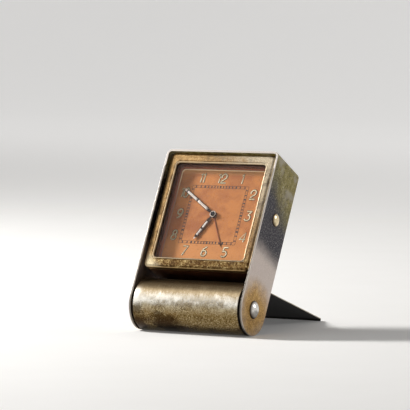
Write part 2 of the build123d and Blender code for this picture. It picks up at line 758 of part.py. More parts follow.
def make_barrel(name, at, teeth, phase):
    """A spring barrel: toothed drum, mainspring, lid and arbor, and the key on the arbor's square."""
    level = main_plate_back + barrel_level
    rim = barrel_module * teeth / 2
    outside = rim - dedendum_share * barrel_module - barrel_tooth_stand
    inside = outside - barrel_wall
    drum = layer(toothed(barrel_module, teeth, phase), level, barrel_rim_height, *at)
    drum += turned(outside, drum_sides, level, barrel_height, *at)
    drum -= bore(inside, drum_sides, level + barrel_rim_height, barrel_height, *at)
    drum -= shaft(arbor_radius + run_clearance, level, barrel_rim_height, *at)
    keep(name + "_barrel", drum)

    lid_depth = level + barrel_height - barrel_lid
    lid = turned(inside - fit_clearance, drum_sides, lid_depth, barrel_lid, *at)
    lid -= bore(barrel_arbor_radius + run_clearance, arbor_sides, lid_depth, barrel_lid, *at)
    keep(name + "_barrel_lid", lid)

    spring_inside = barrel_arbor_radius + spring_margin
    pitch = (inside - spring_margin - spring_inside - spring_strip) / spring_turns
    spring = spiral(spring_inside, pitch, spring_turns, spring_strip)
    spring_height = barrel_height - barrel_rim_height - barrel_lid - 2 * end_shake
    keep(name + "_mainspring", layer(spring, level + barrel_rim_height + end_shake, spring_height, *at))

    front = main_plate_front
    body = level + barrel_rim_height + end_shake
    arbor = turned(arbor_radius, arbor_sides, front, body - front, *at)
    arbor += shaft(barrel_arbor_radius, body, key_depth - body, *at)
    keep(name + "_arbor", arbor)

    keep(name + "_key", make_key(at))


def make_key(at):
    """A winding key: a round hub with two flat wings, each pierced."""
    hub = turned(key_hub_radius, drum_sides, key_depth, key_hub_height, *at)
    wing_front = key_depth + key_hub_height - end_shake
    wing = RectangleRounded(key_wing_width, key_wing_height, key_wing_height / 2 - fit_clearance)
    for side in (-1, 1):
        wing -= Pos(side * key_wing_width / 4) * RegularPolygon(key_hole_radius, drum_sides)
    middle = bezel_front + wing_front + key_wing_height / 2
    wings = Plane(origin=(at[0], middle, case_middle + at[1]), x_dir=(1, 0, 0), z_dir=(0, 0, 1)) * wing
    return hub + extrude(wings, amount=key_wing_thickness / 2, both=True)


def make_knob(name, at, radius):
    """A knurled setting knob with a smaller plain end."""
    valley_radius = radius - knob_ridge_depth
    corners = []
    for ridge in range(knob_ridges):
        angle = ridge * 360 / knob_ridges
        corners.append(polar(radius, angle))
        corners.append(polar(valley_radius, angle + 180 / knob_ridges))
    grip_height = knob_height - knob_cap_height
    knob = layer(make_face(Polyline(corners, close=True)), key_depth, grip_height, *at)
    knob += turned(valley_radius - knob_cap_step, drum_sides, key_depth + grip_height, knob_cap_height, *at)
    keep(name, knob)


def wheel(name, at, module, teeth, phase, level, pinion_module, pinion_teeth, pinion_phase, pinion_level):
    """A train wheel with spokes, its pinion and its arbor between the plates."""
    rim = module * teeth / 2 - wheel_rim_share * module
    face = toothed(module, teeth, phase)
    face -= crossings(rim, wheel_hub_radius, wheel_spokes, spoke_width)
    solid = layer(face, main_plate_back + level, wheel_thickness, *at)
    solid += layer(toothed(pinion_module, pinion_teeth, pinion_phase), main_plate_back + pinion_level,
                   pinion_thickness, *at)
    solid += staff(at)
    keep(name, solid)


def make_trains():
    """The going train from barrel to balance, and the alarm's star wheel and hammer."""
    pinion_level = barrel_level
    pinion = toothed(barrel_module, centre_pinion_teeth, 0)
    pinion_depth = main_plate_back + pinion_level
    face = toothed(centre_wheel_module, centre_wheel_teeth, 0)
    rim = centre_wheel_module * centre_wheel_teeth / 2 - wheel_rim_share * centre_wheel_module
    face -= crossings(rim, barrel_module * centre_pinion_teeth, wheel_spokes, spoke_width)
    centre_wheel = layer(face, main_plate_back + centre_wheel_level, wheel_thickness)
    hub_depth = main_plate_back + centre_wheel_level
    centre_wheel += layer(pinion, hub_depth, pinion_depth - hub_depth + barrel_rim_height)
    centre_wheel -= bore(arbor_radius, arbor_sides, hub_depth, pillar_length)
    keep("centre_wheel", centre_wheel)

    barrel_phase = meshing_phase(going_barrel_bearing, centre_pinion_teeth, 0, going_barrel_teeth)
    make_barrel("going", going_barrel_at, going_barrel_teeth, barrel_phase)
    make_barrel("alarm", alarm_barrel_at, alarm_barrel_teeth, 0)

    third_pinion_phase = meshing_phase(third_bearing, centre_wheel_teeth, 0, third_pinion_teeth)
    wheel("third_wheel", third_at, third_wheel_module, third_wheel_teeth, 0, third_wheel_level,
          centre_wheel_module, third_pinion_teeth, third_pinion_phase, centre_wheel_level - end_shake)
    fourth_pinion_phase = meshing_phase(fourth_bearing, third_wheel_teeth, 0, fourth_pinion_teeth)
    wheel("fourth_wheel", fourth_at, fourth_wheel_module, fourth_wheel_teeth, 0, fourth_wheel_level,
          third_wheel_module, fourth_pinion_teeth, fourth_pinion_phase, third_wheel_level - end_shake)
    make_escapement()
    make_alarm()


def ratchet_outline(radius, teeth):
    """A wheel with pointed teeth that lean one way."""
    corners = []
    for tooth in range(teeth):
        angle = tooth * 360 / teeth
        corners.append(polar(radius, angle))
        corners.append(polar(radius - ratchet_depth_share * radius, angle + ratchet_lean_share * 360 / teeth))
    return make_face(Polyline(corners, close=True))


def make_escapement():
    """Escape wheel, pallet fork, balance with its staff, hairspring and regulator."""
    level = main_plate_back + escape_wheel_level
    escape_outline = ratchet_outline(escape_wheel_radius, escape_wheel_teeth)
    escape = layer(escape_outline, level, wheel_thickness, *escape_at)
    phase = meshing_phase(escape_bearing, fourth_wheel_teeth, 0, escape_pinion_teeth)
    escape += layer(toothed(fourth_wheel_module, escape_pinion_teeth, phase),
                    main_plate_back + fourth_wheel_level - end_shake, pinion_thickness, *escape_at)
    escape += staff(escape_at)
    keep("escape_wheel", escape)

    tail = Rot(0, 0, balance_bearing) * Pos(fork_tail / 2) * Rectangle(fork_tail, fork_width)
    arms = Rectangle(fork_width, 2 * fork_arm)
    reach = fork_distance - escape_wheel_radius - pallet_gap
    for side in (-1, 1):
        arms += Pos(-reach / 2, side * (fork_arm - pallet_width / 2)) * Rectangle(reach, pallet_width)
    arms = Rot(0, 0, fork_bearing) * arms
    fork = layer(tail + arms + RegularPolygon(fork_width, arbor_sides), level, wheel_thickness, *fork_at)
    fork += staff(fork_at)
    keep("pallet_fork", fork)

    rim = RegularPolygon(balance_radius, drum_sides)
    rim -= crossings(balance_radius - balance_rim, wheel_hub_radius, balance_spokes, balance_rim)
    balance = layer(rim, main_plate_back + balance_level, balance_thickness, *balance_at)
    balance += staff(balance_at)
    collet = hairspring_inner_radius - end_shake
    collet_height = hairspring_level + hairspring_height - balance_level
    balance += turned(collet, arbor_sides, main_plate_back + balance_level, collet_height, *balance_at)
    keep("balance_wheel", balance)

    spring = spiral(hairspring_inner_radius, hairspring_step, hairspring_turns, hairspring_strip)
    keep("hairspring", layer(spring, main_plate_back + hairspring_level, hairspring_height, *balance_at))

    depth = train_plate_back + end_shake
    reach = regulator_tail + regulator_pin_radius
    ring = RegularPolygon(regulator_ring_radius, drum_sides)
    ring += Rot(0, 0, regulator_bearing) * Pos(reach / 2) * Rectangle(reach, regulator_width)
    ring -= Circle(fine_arbor_radius + run_clearance)
    lever = layer(ring, depth, regulator_thickness, *balance_at)
    pin_at = step_from(balance_at, regulator_bearing, regulator_tail)
    lever += turned(regulator_pin_radius, arbor_sides, depth, back_plate_back + key_gap - depth, *pin_at)
    keep("regulator_lever", lever)


def make_alarm():
    """The alarm's star wheel, driven by its barrel, and the hammer that it knocks against the case."""
    depth = main_plate_back + centre_wheel_level
    star = layer(ratchet_outline(star_radius, star_teeth), depth, wheel_thickness, *star_at)
    phase = meshing_phase(star_bearing, alarm_barrel_teeth, 0, star_pinion_teeth)
    pinion_length = barrel_level - centre_wheel_level + barrel_rim_height
    star += layer(toothed(barrel_module, star_pinion_teeth, phase), depth, pinion_length, *star_at)
    star += staff(star_at)
    keep("alarm_star_wheel", star)

    arms = Rot(0, 0, hammer_bearing) * Rectangle(hammer_arm_width, 2 * hammer_anchor)
    arm = Pos(hammer_arm_length / 2) * Rectangle(hammer_arm_length, hammer_arm_width)
    arm = Rot(0, 0, hammer_bearing) * arm
    hammer = layer(arms + arm, depth, wheel_thickness, *hammer_at)
    head_at = step_from(hammer_at, hammer_bearing, hammer_arm_length)
    hammer += turned(hammer_head_radius, arbor_sides, depth, hammer_head_height, *head_at)
    hammer += staff(hammer_at)
    keep("alarm_hammer", hammer)


def make_back():
    """The case's back plate and its four screws, which pass into the pillars."""
    outline = cut_box(inside_half - back_plate_gap, inside_half_height - back_plate_gap, back_plate_cut)
    plate = layer(outline, back_plate_front, back_plate_thickness)
    plate = arbor_holes(plate, back_plate_front, back_plate_thickness, [
        (centre, arbor_radius), (setter_at, arbor_radius),
        (going_barrel_at, barrel_arbor_radius), (alarm_barrel_at, barrel_arbor_radius)])
    slot_half = regulator_pin_radius + regulator_slot_gap
    slot = Circle(regulator_tail + slot_half) - Circle(regulator_tail - slot_half)
    far = 2 * regulator_tail
    swing = regulator_swing + degrees(slot_half / regulator_tail)
    swing_start = polar(far, regulator_bearing - swing)
    swing_end = polar(far, regulator_bearing + swing)
    slot &= make_face(Polyline((0, 0), swing_start, swing_end, close=True))
    plate -= layer(slot, back_plate_front, back_plate_thickness, *balance_at)
    screws = []
    grip = train_plate_front - back_screw_grip
    shank_radius = back_screw_shank_radius - fit_clearance
    slot_front = back_plate_back + back_screw_head_height - back_screw_slot_depth
    groove = Rot(0, 0, back_screw_slot_turn) * Rectangle(2 * back_screw_head_radius, back_screw_slot_width)
    for x, v in pillar_centres:
        plate -= bore(back_screw_shank_radius + fit_clearance, arbor_sides, back_plate_front,
                      back_plate_thickness, x, v)
        screw = turned(back_screw_head_radius, drum_sides, back_plate_back, back_screw_head_height, x, v)
        screw -= layer(groove, slot_front, back_screw_slot_depth, x, v)
        screw += turned(shank_radius, arbor_sides, grip, back_plate_back - grip, x, v)
        screws.append(screw)
    keep("back_plate", plate)
    keep_group("back_screws", screws)


make_strap()
for side_name, side_sign in (("left", -1), ("right", 1)):
    make_side_fastenings(side_name, side_sign)
make_cover()
make_case()
make_bezel()
make_dial()
make_plates()
make_hands()
make_motion_work()
make_trains()
make_knob("time_set_knob", centre, time_knob_radius)
make_knob("alarm_set_knob", setter_at, alarm_knob_radius)
make_back()

os.makedirs("parts", exist_ok=True)
for part_name, part_shape in parts.items():
    export_step(part_shape, f"parts/{part_name}.step")
print(f"lean {lean:.2f} plate pitch {plate_pitch:.2f} closing {closing_angle:.2f}")
print(f"hinge at 0 {hinge_y:.3f} {hinge_z:.3f}")
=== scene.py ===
import json
from math import cos, pi, radians, sin, sqrt

import bmesh
import bpy
from mathutils import Matrix, Vector


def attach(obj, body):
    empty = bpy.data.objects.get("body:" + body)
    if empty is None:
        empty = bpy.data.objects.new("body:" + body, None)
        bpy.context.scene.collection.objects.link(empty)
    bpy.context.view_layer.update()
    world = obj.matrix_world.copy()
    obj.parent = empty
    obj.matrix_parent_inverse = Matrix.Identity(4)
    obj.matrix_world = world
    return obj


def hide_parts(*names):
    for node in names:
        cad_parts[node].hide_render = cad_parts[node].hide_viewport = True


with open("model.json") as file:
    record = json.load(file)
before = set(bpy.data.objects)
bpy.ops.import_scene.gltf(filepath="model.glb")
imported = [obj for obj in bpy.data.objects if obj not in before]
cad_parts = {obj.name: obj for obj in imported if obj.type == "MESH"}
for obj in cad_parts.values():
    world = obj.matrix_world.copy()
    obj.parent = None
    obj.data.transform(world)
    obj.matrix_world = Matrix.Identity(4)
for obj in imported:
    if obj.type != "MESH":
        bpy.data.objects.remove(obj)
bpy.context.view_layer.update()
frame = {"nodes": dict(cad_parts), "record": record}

nodes = frame["nodes"]
mm = 0.001

# Camera and studio. The camera looks along the photograph's line of sight, from the clock's right and a
# little above, through a long lens. A soft box at the upper left throws the shadow that falls on the dial,
# and two weaker ones stand above and at the right.
sight_azimuth = radians(28.8)
sight_elevation = radians(3.69)
sight_distance = 995.5 * mm
sight_target = Vector((3.16, -23.33, 45.09)) * mm
sight = Vector((sin(sight_azimuth) * cos(sight_elevation), -cos(sight_azimuth) * cos(sight_elevation),
                sin(sight_elevation)))
camera = bpy.data.objects.new("camera", bpy.data.cameras.new("camera"))
camera.data.sensor_width = 36
camera.data.lens = 249.9
camera.data.clip_start = 0.05
camera.location = sight_target + sight_distance * sight
camera.rotation_euler = (-sight).to_track_quat("-Z", "Y").to_euler()
bpy.context.collection.objects.link(camera)
bpy.context.scene.camera = camera
bpy.context.scene.view_settings.view_transform = "Standard"


def soft_lamp(name, towards, distance, width, height, watts):
    """A rectangular soft box that faces the clock from a direction."""
    lamp = bpy.data.objects.new(name, bpy.data.lights.new(name, "AREA"))
    lamp.data.shape = "RECTANGLE"
    lamp.data.size = width
    lamp.data.size_y = height
    lamp.data.energy = watts
    away = Vector(towards).normalized()
    lamp.location = sight_target + distance * away
    lamp.rotation_euler = away.to_track_quat("Z", "Y").to_euler()
    bpy.context.collection.objects.link(lamp)


soft_lamp("left_lamp", towards=(-0.86, -0.16, 0.48), distance=0.8, width=0.14, height=0.2, watts=11.4)
soft_lamp("upper_lamp", towards=(-0.40, -0.33, 0.855), distance=1.1, width=0.45, height=0.22, watts=1.1)
soft_lamp("right_lamp", towards=(0.82, 0.42, 0.38), distance=1.0, width=0.25, height=0.25, watts=1.6)


class Tone:
    """A socket of a node graph, for use in Python expressions."""

    def __init__(self, graph, socket):
        self.graph = graph
        self.socket = socket

    def joined(self, operation, first, second):
        return self.graph.node("ShaderNodeMath", {"operation": operation}, {0: first, 1: second})

    def __add__(self, other):
        return self.joined("ADD", self, other)

    def __sub__(self, other):
        return self.joined("SUBTRACT", self, other)

    def __rsub__(self, other):
        return self.joined("SUBTRACT", other, self)

    def __mul__(self, other):
        return self.joined("MULTIPLY", self, other)

    def __truediv__(self, other):
        return self.joined("DIVIDE", self, other)

    def __mod__(self, other):
        return self.joined("MODULO", self, other)

    def __gt__(self, other):
        return self.joined("GREATER_THAN", self, other)

    def __lt__(self, other):
        return self.joined("LESS_THAN", self, other)

    def __abs__(self):
        return self.joined("ABSOLUTE", self, 0)

    __radd__ = __add__


class Graph:
    """A node tree that is put together node by node."""

    def node(self, kind, settings={}, inputs={}, output=0):
        """Adds a node: its settings first, then the values or links of its sockets."""
        made = self.tree.nodes.new(kind)
        for name, value in settings.items():
            if name == "stops":
                ramp = made.color_ramp
                while len(ramp.elements) < len(value):
                    ramp.elements.new(1)
                for element, (position, colour) in zip(ramp.elements, value):
                    element.position = position
                    element.color = (*colour, 1)
            else:
                setattr(made, name, value)
        for name, value in inputs.items():
            for part in value if isinstance(value, list) else [value]:
                if isinstance(part, Tone):
                    self.tree.links.new(part.socket, made.inputs[name])
                else:
                    made.inputs[name].default_value = part
        return Tone(self, made.outputs[output])

    def axes(self, vector):
        """A vector's three numbers."""
        split = self.node("ShaderNodeSeparateXYZ", inputs={0: vector})
        return [Tone(self, socket) for socket in split.socket.node.outputs]

    def seen(self):
        """1 for rays from the camera, off a mirror or through glass, and 0 for light that falls on things."""
        camera_ray, glossy_ray, clear_ray = (
            self.node("ShaderNodeLightPath", output="Is %s Ray" % kind)
            for kind in ("Camera", "Glossy", "Transmission"))
        return camera_ray + glossy_ray + clear_ray


class Finish(Graph):
    """A procedural material on the piece's own coordinates."""

    def __init__(self, name, **constants):
        self.material = bpy.data.materials.new(name)
        self.material.use_nodes = True
        self.tree = self.material.node_tree
        self.shader = self.tree.nodes["Principled BSDF"]
        for socket, value in constants.items():
            self.shader.inputs[socket.replace("_", " ")].default_value = value
        self.place = self.node("ShaderNodeTexCoord", output="Object")

    def stretched(self, scale, turn=(0, 0, 0)):
        """The piece's coordinates, turned and then scaled along each axis."""
        turned = self.node("ShaderNodeMapping", {}, {"Vector": self.place, "Rotation": turn})
        return self.node("ShaderNodeMapping", {}, {"Vector": turned, "Scale": scale})

    def noise(self, size, detail=4, roughness=0.6, place=None):
        """Soft clouds whose lumps measure about size metres."""
        return self.node("ShaderNodeTexNoise", {}, {
            "Vector": place or self.place, "Scale": 1 / size, "Detail": detail, "Roughness": roughness})

    def between(self, value, low, high):
        """0 below low, 1 above high, and smooth in between."""
        return self.node("ShaderNodeMapRange", {"interpolation_type": "SMOOTHSTEP"}, {
            "Value": value, "From Min": low, "From Max": high})

    def ramp(self, value, *stops):
        """A blend through stops, each a place on the scale and a colour as a screen shows it."""
        stops = [(place, tint(*colour)) for place, *colour in stops]
        return self.node("ShaderNodeValToRGB", {"stops": stops}, {"Fac": value})

    def mix(self, share, first, second):
        """The first colour where share is 0 and the second where it is 1."""
        first, second = (c if isinstance(c, Tone) else (*c, 1) for c in (first, second))
        return self.node("ShaderNodeMix", {"data_type": "RGBA"}, {"Factor": share, 6: first, 7: second},
                         output=2)

    def bump(self, height, strength):
        """A normal that tilts with a height, over a depth that suits patina and grain."""
        return self.node("ShaderNodeBump", {}, {
            "Height": height, "Strength": strength, "Distance": 0.05 * mm})

    def set(self, **tones):
        """Links tones to the shader's inputs of those names."""
        for socket, tone in tones.items():
            self.tree.links.new(tone.socket, self.shader.inputs[socket.replace("_", " ")])

    def give(self, *names):
        """Puts the finish on CAD nodes."""
        for name in names:
            nodes[name].data.materials.clear()
            nodes[name].data.materials.append(self.material)


def tint(red, green, blue):
    """A colour given as a screen shows it, as the linear numbers that a shader takes."""
    return tuple((c / 255) ** 2.2 for c in (red, green, blue))


# Table and backdrop. A plain pale paper sweep, flat under the clock and curved up behind it. It is stage
# only. Its far part and the world look pale to the camera and in the metal, with no more light on the clock.
paper = Finish("pale_paper", Roughness=0.7, Emission_Strength=1.0)
paper_grain = paper.noise(40 * mm, 3)
paper_y = paper.axes(paper.place)[1]
paper_glow = (0.1 + paper.between(paper_y, 0.0, 1.5) * 0.45) * paper.seen()
paper.set(Base_Color=paper.mix(paper_grain, tint(222, 220, 216), tint(228, 226, 223)),
          Emission_Color=paper.mix(paper_glow, (0, 0, 0), (1, 0.99, 0.98)))
sweep_half = 3.0
sweep_front = -1.5
sweep_back = 1.7
sweep_radius = 0.7
sweep_top = 2.5
sweep_steps = 12
sweep_line = [(sweep_front, 0), (sweep_back, 0)]
for step in range(1, sweep_steps + 1):
    turn = pi / 2 * step / sweep_steps
    sweep_line.append((sweep_back + sweep_radius * sin(turn), sweep_radius * (1 - cos(turn))))
sweep_line.append((sweep_back + sweep_radius, sweep_top))
sweep_mesh = bpy.data.meshes.new("sweep")
sweep_mesh.from_pydata([(x, y, z) for y, z in sweep_line for x in (-sweep_half, sweep_half)], [],
                       [(2 * i, 2 * i + 1, 2 * i + 3, 2 * i + 2) for i in range(len(sweep_line) - 1)])
sweep_mesh.shade_smooth()
sweep_mesh.materials.append(paper.material)
sweep = bpy.data.objects.new("sweep", sweep_mesh)
bpy.context.collection.objects.link(sweep)


class Sky(Graph):
    """The world's node tree."""

    def __init__(self):
        world = bpy.context.scene.world or bpy.data.worlds.new("world")
        bpy.context.scene.world = world
        world.use_nodes = True
        self.tree = world.node_tree


sky = Sky()
sky_light = sky.node("ShaderNodeBackground", {}, {"Color": (1, 1, 1, 1), "Strength": 0.095})
sky_seen = sky.node("ShaderNodeBackground", {}, {"Color": (*tint(214, 213, 211), 1), "Strength": 1})
sky_mixed = sky.node("ShaderNodeMixShader", {}, {"Fac": sky.seen(), 1: sky_light, 2: sky_seen})
sky.tree.links.new(sky_mixed.socket, sky.tree.nodes["World Output"].inputs["Surface"])

# Strap. One strip of brass sheet bent into an upside-down U, nickel-plated and worn. The plating has gone
# olive towards the top and dark round the middle, partly tarnish and partly a painted dark reflection, and
# it is rubbed thin to brass round the lower rivets. The strip's edges are rounded by polishing, and their
# outer corners are painted lighter, partly rubbed plating and partly a painted highlight.
lean = radians(28.5668)
hinge = Vector((0, -23.332, 9.2)) * mm
clock_frame = Matrix.Translation(hinge) @ Matrix.Rotation(-lean, 4, "X")
body_of = {node: body for body, held in frame["record"]["behaviour"]["bodies"].items() for node in held}
strap_edge_round = 0.1
strap_half_width = 22.5
strap_end_radius = 9.1


def clock_axes(finish, frame_matrix=clock_frame):
    """Millimetres to the right, to the back and up the strap from the hinge."""
    inverse = frame_matrix.inverted()
    turned = finish.node("ShaderNodeMapping", {}, {
        "Vector": finish.place, "Rotation": tuple(inverse.to_euler()), "Scale": (1 / mm,) * 3,
        "Location": tuple(inverse.translation / mm)})
    return finish.axes(turned)


def polished(name, finish, rounding, angle=35):
    """Makes a copy of a CAD piece with its sharp edges rounded, which stands for the piece."""
    mesh = nodes[name].data.copy()
    if "custom_normal" in mesh.attributes:
        mesh.attributes.remove(mesh.attributes["custom_normal"])
    form = bmesh.new()
    form.from_mesh(mesh)
    bmesh.ops.remove_doubles(form, verts=form.verts, dist=0.001 * mm)
    bmesh.ops.dissolve_limit(form, angle_limit=radians(0.5), verts=form.verts, edges=form.edges)
    form.to_mesh(mesh)
    form.free()
    mesh.shade_smooth()
    mesh.materials.clear()
    mesh.materials.append(finish.material)
    piece = bpy.data.objects.new(name + "_polished", mesh)
    bpy.context.collection.objects.link(piece)
    edges = piece.modifiers.new("edges", "BEVEL")
    edges.limit_method = "ANGLE"
    edges.angle_limit = radians(angle)
    edges.width = rounding * mm
    edges.segments = 2
    edges.harden_normals = True
    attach(piece, body_of[name])
    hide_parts(name)


nickel = Finish("worn_strap_nickel")
strap_x, strap_d, strap_u = clock_axes(nickel)
patina_cloud = nickel.noise(7 * mm, 5, 0.65)
patina_speck = nickel.noise(0.5 * mm, 4, 0.75)
patina_fine = nickel.noise(0.2 * mm, 2, 0.6)
worn_height = strap_u + (patina_cloud - 0.5) * 16 + strap_d * 0.7
upper_share = nickel.between(worn_height + (patina_speck - 0.5) * 16, 34, 50)
lower_share = nickel.between(strap_u + (patina_cloud - 0.5) * 4 + (patina_speck - 0.5) * 5, 25, 17)
rub_distance = strap_d * strap_d + strap_u * strap_u
rub_share = nickel.between(rub_distance + (patina_cloud - 0.5) * 150 + (patina_speck - 0.5) * 90, 170, 20)
olive_share = patina_speck * 0.6 + nickel.noise(2.5 * mm, 5, 0.7) * 0.4
olive = nickel.ramp(olive_share, (0.38, 62, 52, 34), (0.46, 124, 110, 56), (0.54, 160, 148, 86),
                    (0.62, 196, 190, 170))
bare_share = nickel.between(nickel.noise(9 * mm, 4, 0.6), 0.5, 0.66) * 0.7
olive = nickel.mix(bare_share, olive, tint(172, 164, 150))
# The dark middle band is partly tarnish and partly a painted dark reflection.
tarnish_and_dark_reflection = nickel.ramp(patina_speck, (0.38, 34, 34, 42), (0.54, 62, 60, 68), (0.63, 158, 152, 148))
satin = nickel.ramp(patina_fine, (0.3, 186, 172, 164), (0.7, 212, 200, 192))
strap_tone = nickel.mix(lower_share, nickel.mix(upper_share, tarnish_and_dark_reflection, olive), satin)
rubbed = nickel.ramp(olive_share, (0.38, 108, 78, 36), (0.5, 176, 134, 66), (0.62, 222, 186, 116))
strap_tone = nickel.mix(rub_share * 0.95, strap_tone, rubbed)
below_hinge = strap_u * (strap_u < 0)
edge_distance = strap_d * strap_d + below_hinge * below_hinge
edge_share = nickel.between(edge_distance, (strap_end_radius - 0.12) ** 2, (strap_end_radius - 0.04) ** 2)
on_top = nickel.between(strap_u, 50, 56)
# The edges' outer corners are painted lighter: partly rubbed plating, partly a painted highlight.
worn_and_highlit_edge = nickel.between(abs(strap_x) + on_top * strap_half_width,
                             strap_half_width - 0.4, strap_half_width - 0.1)
edge_tone = nickel.mix(worn_and_highlit_edge, tint(112, 106, 99), tint(178, 170, 162))
strap_tone = nickel.mix(edge_share, strap_tone, edge_tone)
scratch = nickel.noise(0.3 * mm, 3, 0.5, nickel.stretched((1, 1, 0.04), (lean, 0, 0)))
speck_roughness = nickel.between(patina_speck, 0.35, 0.7) * 0.22
nickel.set(Base_Color=strap_tone, Metallic=1 - upper_share * 0.55,
           Roughness=0.26 + speck_roughness + scratch * 0.08 + upper_share * 0.1,
           Normal=nickel.bump(patina_speck + scratch, 0.12))
polished("strap_frame", nickel, strap_edge_round)

# Hinge rivets and case pins. Turned from brass rod and nickel-plated, with domed heads that darken towards
# their rims, partly dirt and partly painted shade. The upper pins' plating has worn to a warm cream. Each
# head has a radius, a height above the hinge and a colour.
rivet_heads = {"hinge_rivet": (3.25, 0.0, tint(232, 228, 222)), "case_pin": (2.5, 34.4, tint(236, 216, 176))}
for head_name, (head_radius, head_height, head_tint) in rivet_heads.items():
    domed = Finish("domed_" + head_name, Metallic=1)
    head_d, head_u = clock_axes(domed)[1:]
    head_v = head_u - head_height
    from_axis = head_d * head_d + head_v * head_v
    # A darker ring towards the dome's rim: partly dirt, partly painted shade.
    rim_dirt_and_shade = domed.between(from_axis, (0.62 * head_radius) ** 2, (0.96 * head_radius) ** 2)
    dents = domed.noise(0.4 * mm, 4, 0.7)
    head_tone = domed.mix(domed.between(dents, 0.5, 0.8), head_tint, tuple(0.8 * c for c in head_tint))
    domed.set(Base_Color=domed.mix(rim_dirt_and_shade, head_tone, tint(60, 46, 32)),
              Roughness=0.12 + dents * 0.14 + rim_dirt_and_shade * 0.25, Normal=domed.bump(dents, 0.03))
    for side in ("left", "right"):
        polished(head_name + "_" + side, domed, 0.04)

# Washers and spacers. Turned brass rings on the rivets and pins, which keep the cover and the case off the
# strap. They are left as turned, with fine grain, and have darkened in clouds.
ring_brass = Finish("turned_ring_brass", Metallic=1)
ring_grain = ring_brass.noise(0.15 * mm, 3)
ring_cloud = ring_brass.noise(1.5 * mm, 3)
ring_brass.set(Base_Color=ring_brass.mix(ring_cloud, tint(150, 112, 58), tint(108, 78, 42)),
               Roughness=0.3 + ring_grain * 0.2, Normal=ring_brass.bump(ring_grain, 0.15))
for side in ("left", "right"):
    polished("hinge_washer_" + side, ring_brass, 0.05)
    polished("case_spacer_" + side, ring_brass, 0.05)

# Cover. One nickelled brass sheet rolled into half a tube that runs on into a flat plate. Years of handling
# have rubbed the tube to olive and brass specks. On top of that the tube carries a painted highlight along
# the front, a painted glint at the left end and painted shade at the top and underneath. The plate is paler
# on its outer face, and the inside is painted near black for the shade under the plate.
cover_pitch = radians(17.68)
cover_frame = Matrix.Translation(hinge) @ Matrix.Rotation(-cover_pitch, 4, "X")
cover_radius = 9.2
cover_middle_surface = 8.92
worn_cover = Finish("worn_cover_nickel")
cover_x, cover_y, cover_z = clock_axes(worn_cover, cover_frame)
tube_height = clock_axes(worn_cover, Matrix.Translation(hinge))[2] / cover_radius
tube_cloud = worn_cover.noise(5 * mm, 5, 0.65)
tube_speck = worn_cover.noise(0.4 * mm, 4, 0.75)
tube_streak = worn_cover.noise(1.2 * mm, 4, 0.7, worn_cover.stretched((3.5, 0.6, 0.6)))
# The band by height paints a pale highlight along the front and shade at the top and underneath, broken up by
# patina.
light_and_patina_band = tube_height + (tube_cloud - 0.5) * 0.5 + (tube_speck - 0.5) * 0.5 + (tube_streak - 0.5) * 0.35
tube_tone = worn_cover.ramp(
    light_and_patina_band * 0.5 + 0.5,
    (0.04, 118, 112, 104), (0.13, 54, 38, 22), (0.26, 70, 52, 28), (0.38, 120, 98, 62), (0.52, 184, 172, 144),
    (0.62, 246, 242, 232), (0.7, 216, 208, 194), (0.8, 140, 124, 98), (0.92, 98, 82, 60))
speckled = worn_cover.ramp(tube_speck, (0.38, 62, 47, 28), (0.5, 122, 102, 64), (0.64, 172, 156, 120))
tube_patch = worn_cover.noise(13 * mm, 3, 0.6)
speck_share = worn_cover.between(tube_cloud * 0.5 + tube_patch * 0.5, 0.44, 0.56)
speck_share = speck_share * worn_cover.between(tube_height, 0.62, 0.15) * 0.85
tube_tone = worn_cover.mix(speck_share, tube_tone, speckled)
tube_tone = worn_cover.mix(worn_cover.between(tube_speck, 0.54, 0.68) * 0.4, tube_tone, tint(190, 176, 144))
tube_tone = worn_cover.mix(worn_cover.between(tube_speck, 0.44, 0.34) * 0.4, tube_tone, tint(60, 46, 28))
dark_share = worn_cover.between(tube_patch + (tube_speck - 0.5) * 0.4, 0.51, 0.39)
dark_share = dark_share * worn_cover.between(tube_height, 0.3, 0.0) * 0.7
tube_tone = worn_cover.mix(dark_share, tube_tone, tint(48, 34, 18))
# A painted glint at the tube's left end.
left_end_glint = worn_cover.between(cover_x, -17.8, -19.8) * worn_cover.between(abs(tube_height - 0.4), 0.4, 0.1)
tube_tone = worn_cover.mix(left_end_glint * 0.8, tube_tone, tint(255, 250, 240))
behind_top = (cover_y > 0) * (cover_z > 0)
plate_tone = worn_cover.ramp(
    tube_cloud * 0.3 + tube_patch * 0.3 + tube_speck * 0.4,
    (0.36, 112, 96, 70), (0.46, 158, 144, 118), (0.53, 184, 176, 160), (0.64, 206, 200, 190))
plate_share = worn_cover.between(cover_y, 0, 9) * behind_top
tube_tone = worn_cover.mix(plate_share, tube_tone, plate_tone)
skin_y = cover_y * (1 - behind_top)
inside_share = worn_cover.between(skin_y * skin_y + cover_z * cover_z,
                                  (cover_middle_surface + 0.05) ** 2, (cover_middle_surface - 0.1) ** 2)
# The inside is painted near black for the shade that falls under the plate.
inside_shade_black = worn_cover.mix(tube_cloud, tint(16, 14, 13), tint(32, 26, 23))
cover_tone = worn_cover.mix(inside_share, tube_tone, inside_shade_black)
worn_cover.set(Base_Color=cover_tone, Metallic=1 - inside_share * 0.95,
               Roughness=0.24 + tube_speck * 0.22 + inside_share * 0.3,
               Normal=worn_cover.bump(tube_speck + tube_streak, 0.14))
polished("cover_shell", worn_cover, 0.1)
for side in ("left", "right"):
    polished("cover_cheek_" + side, worn_cover, 0.06)

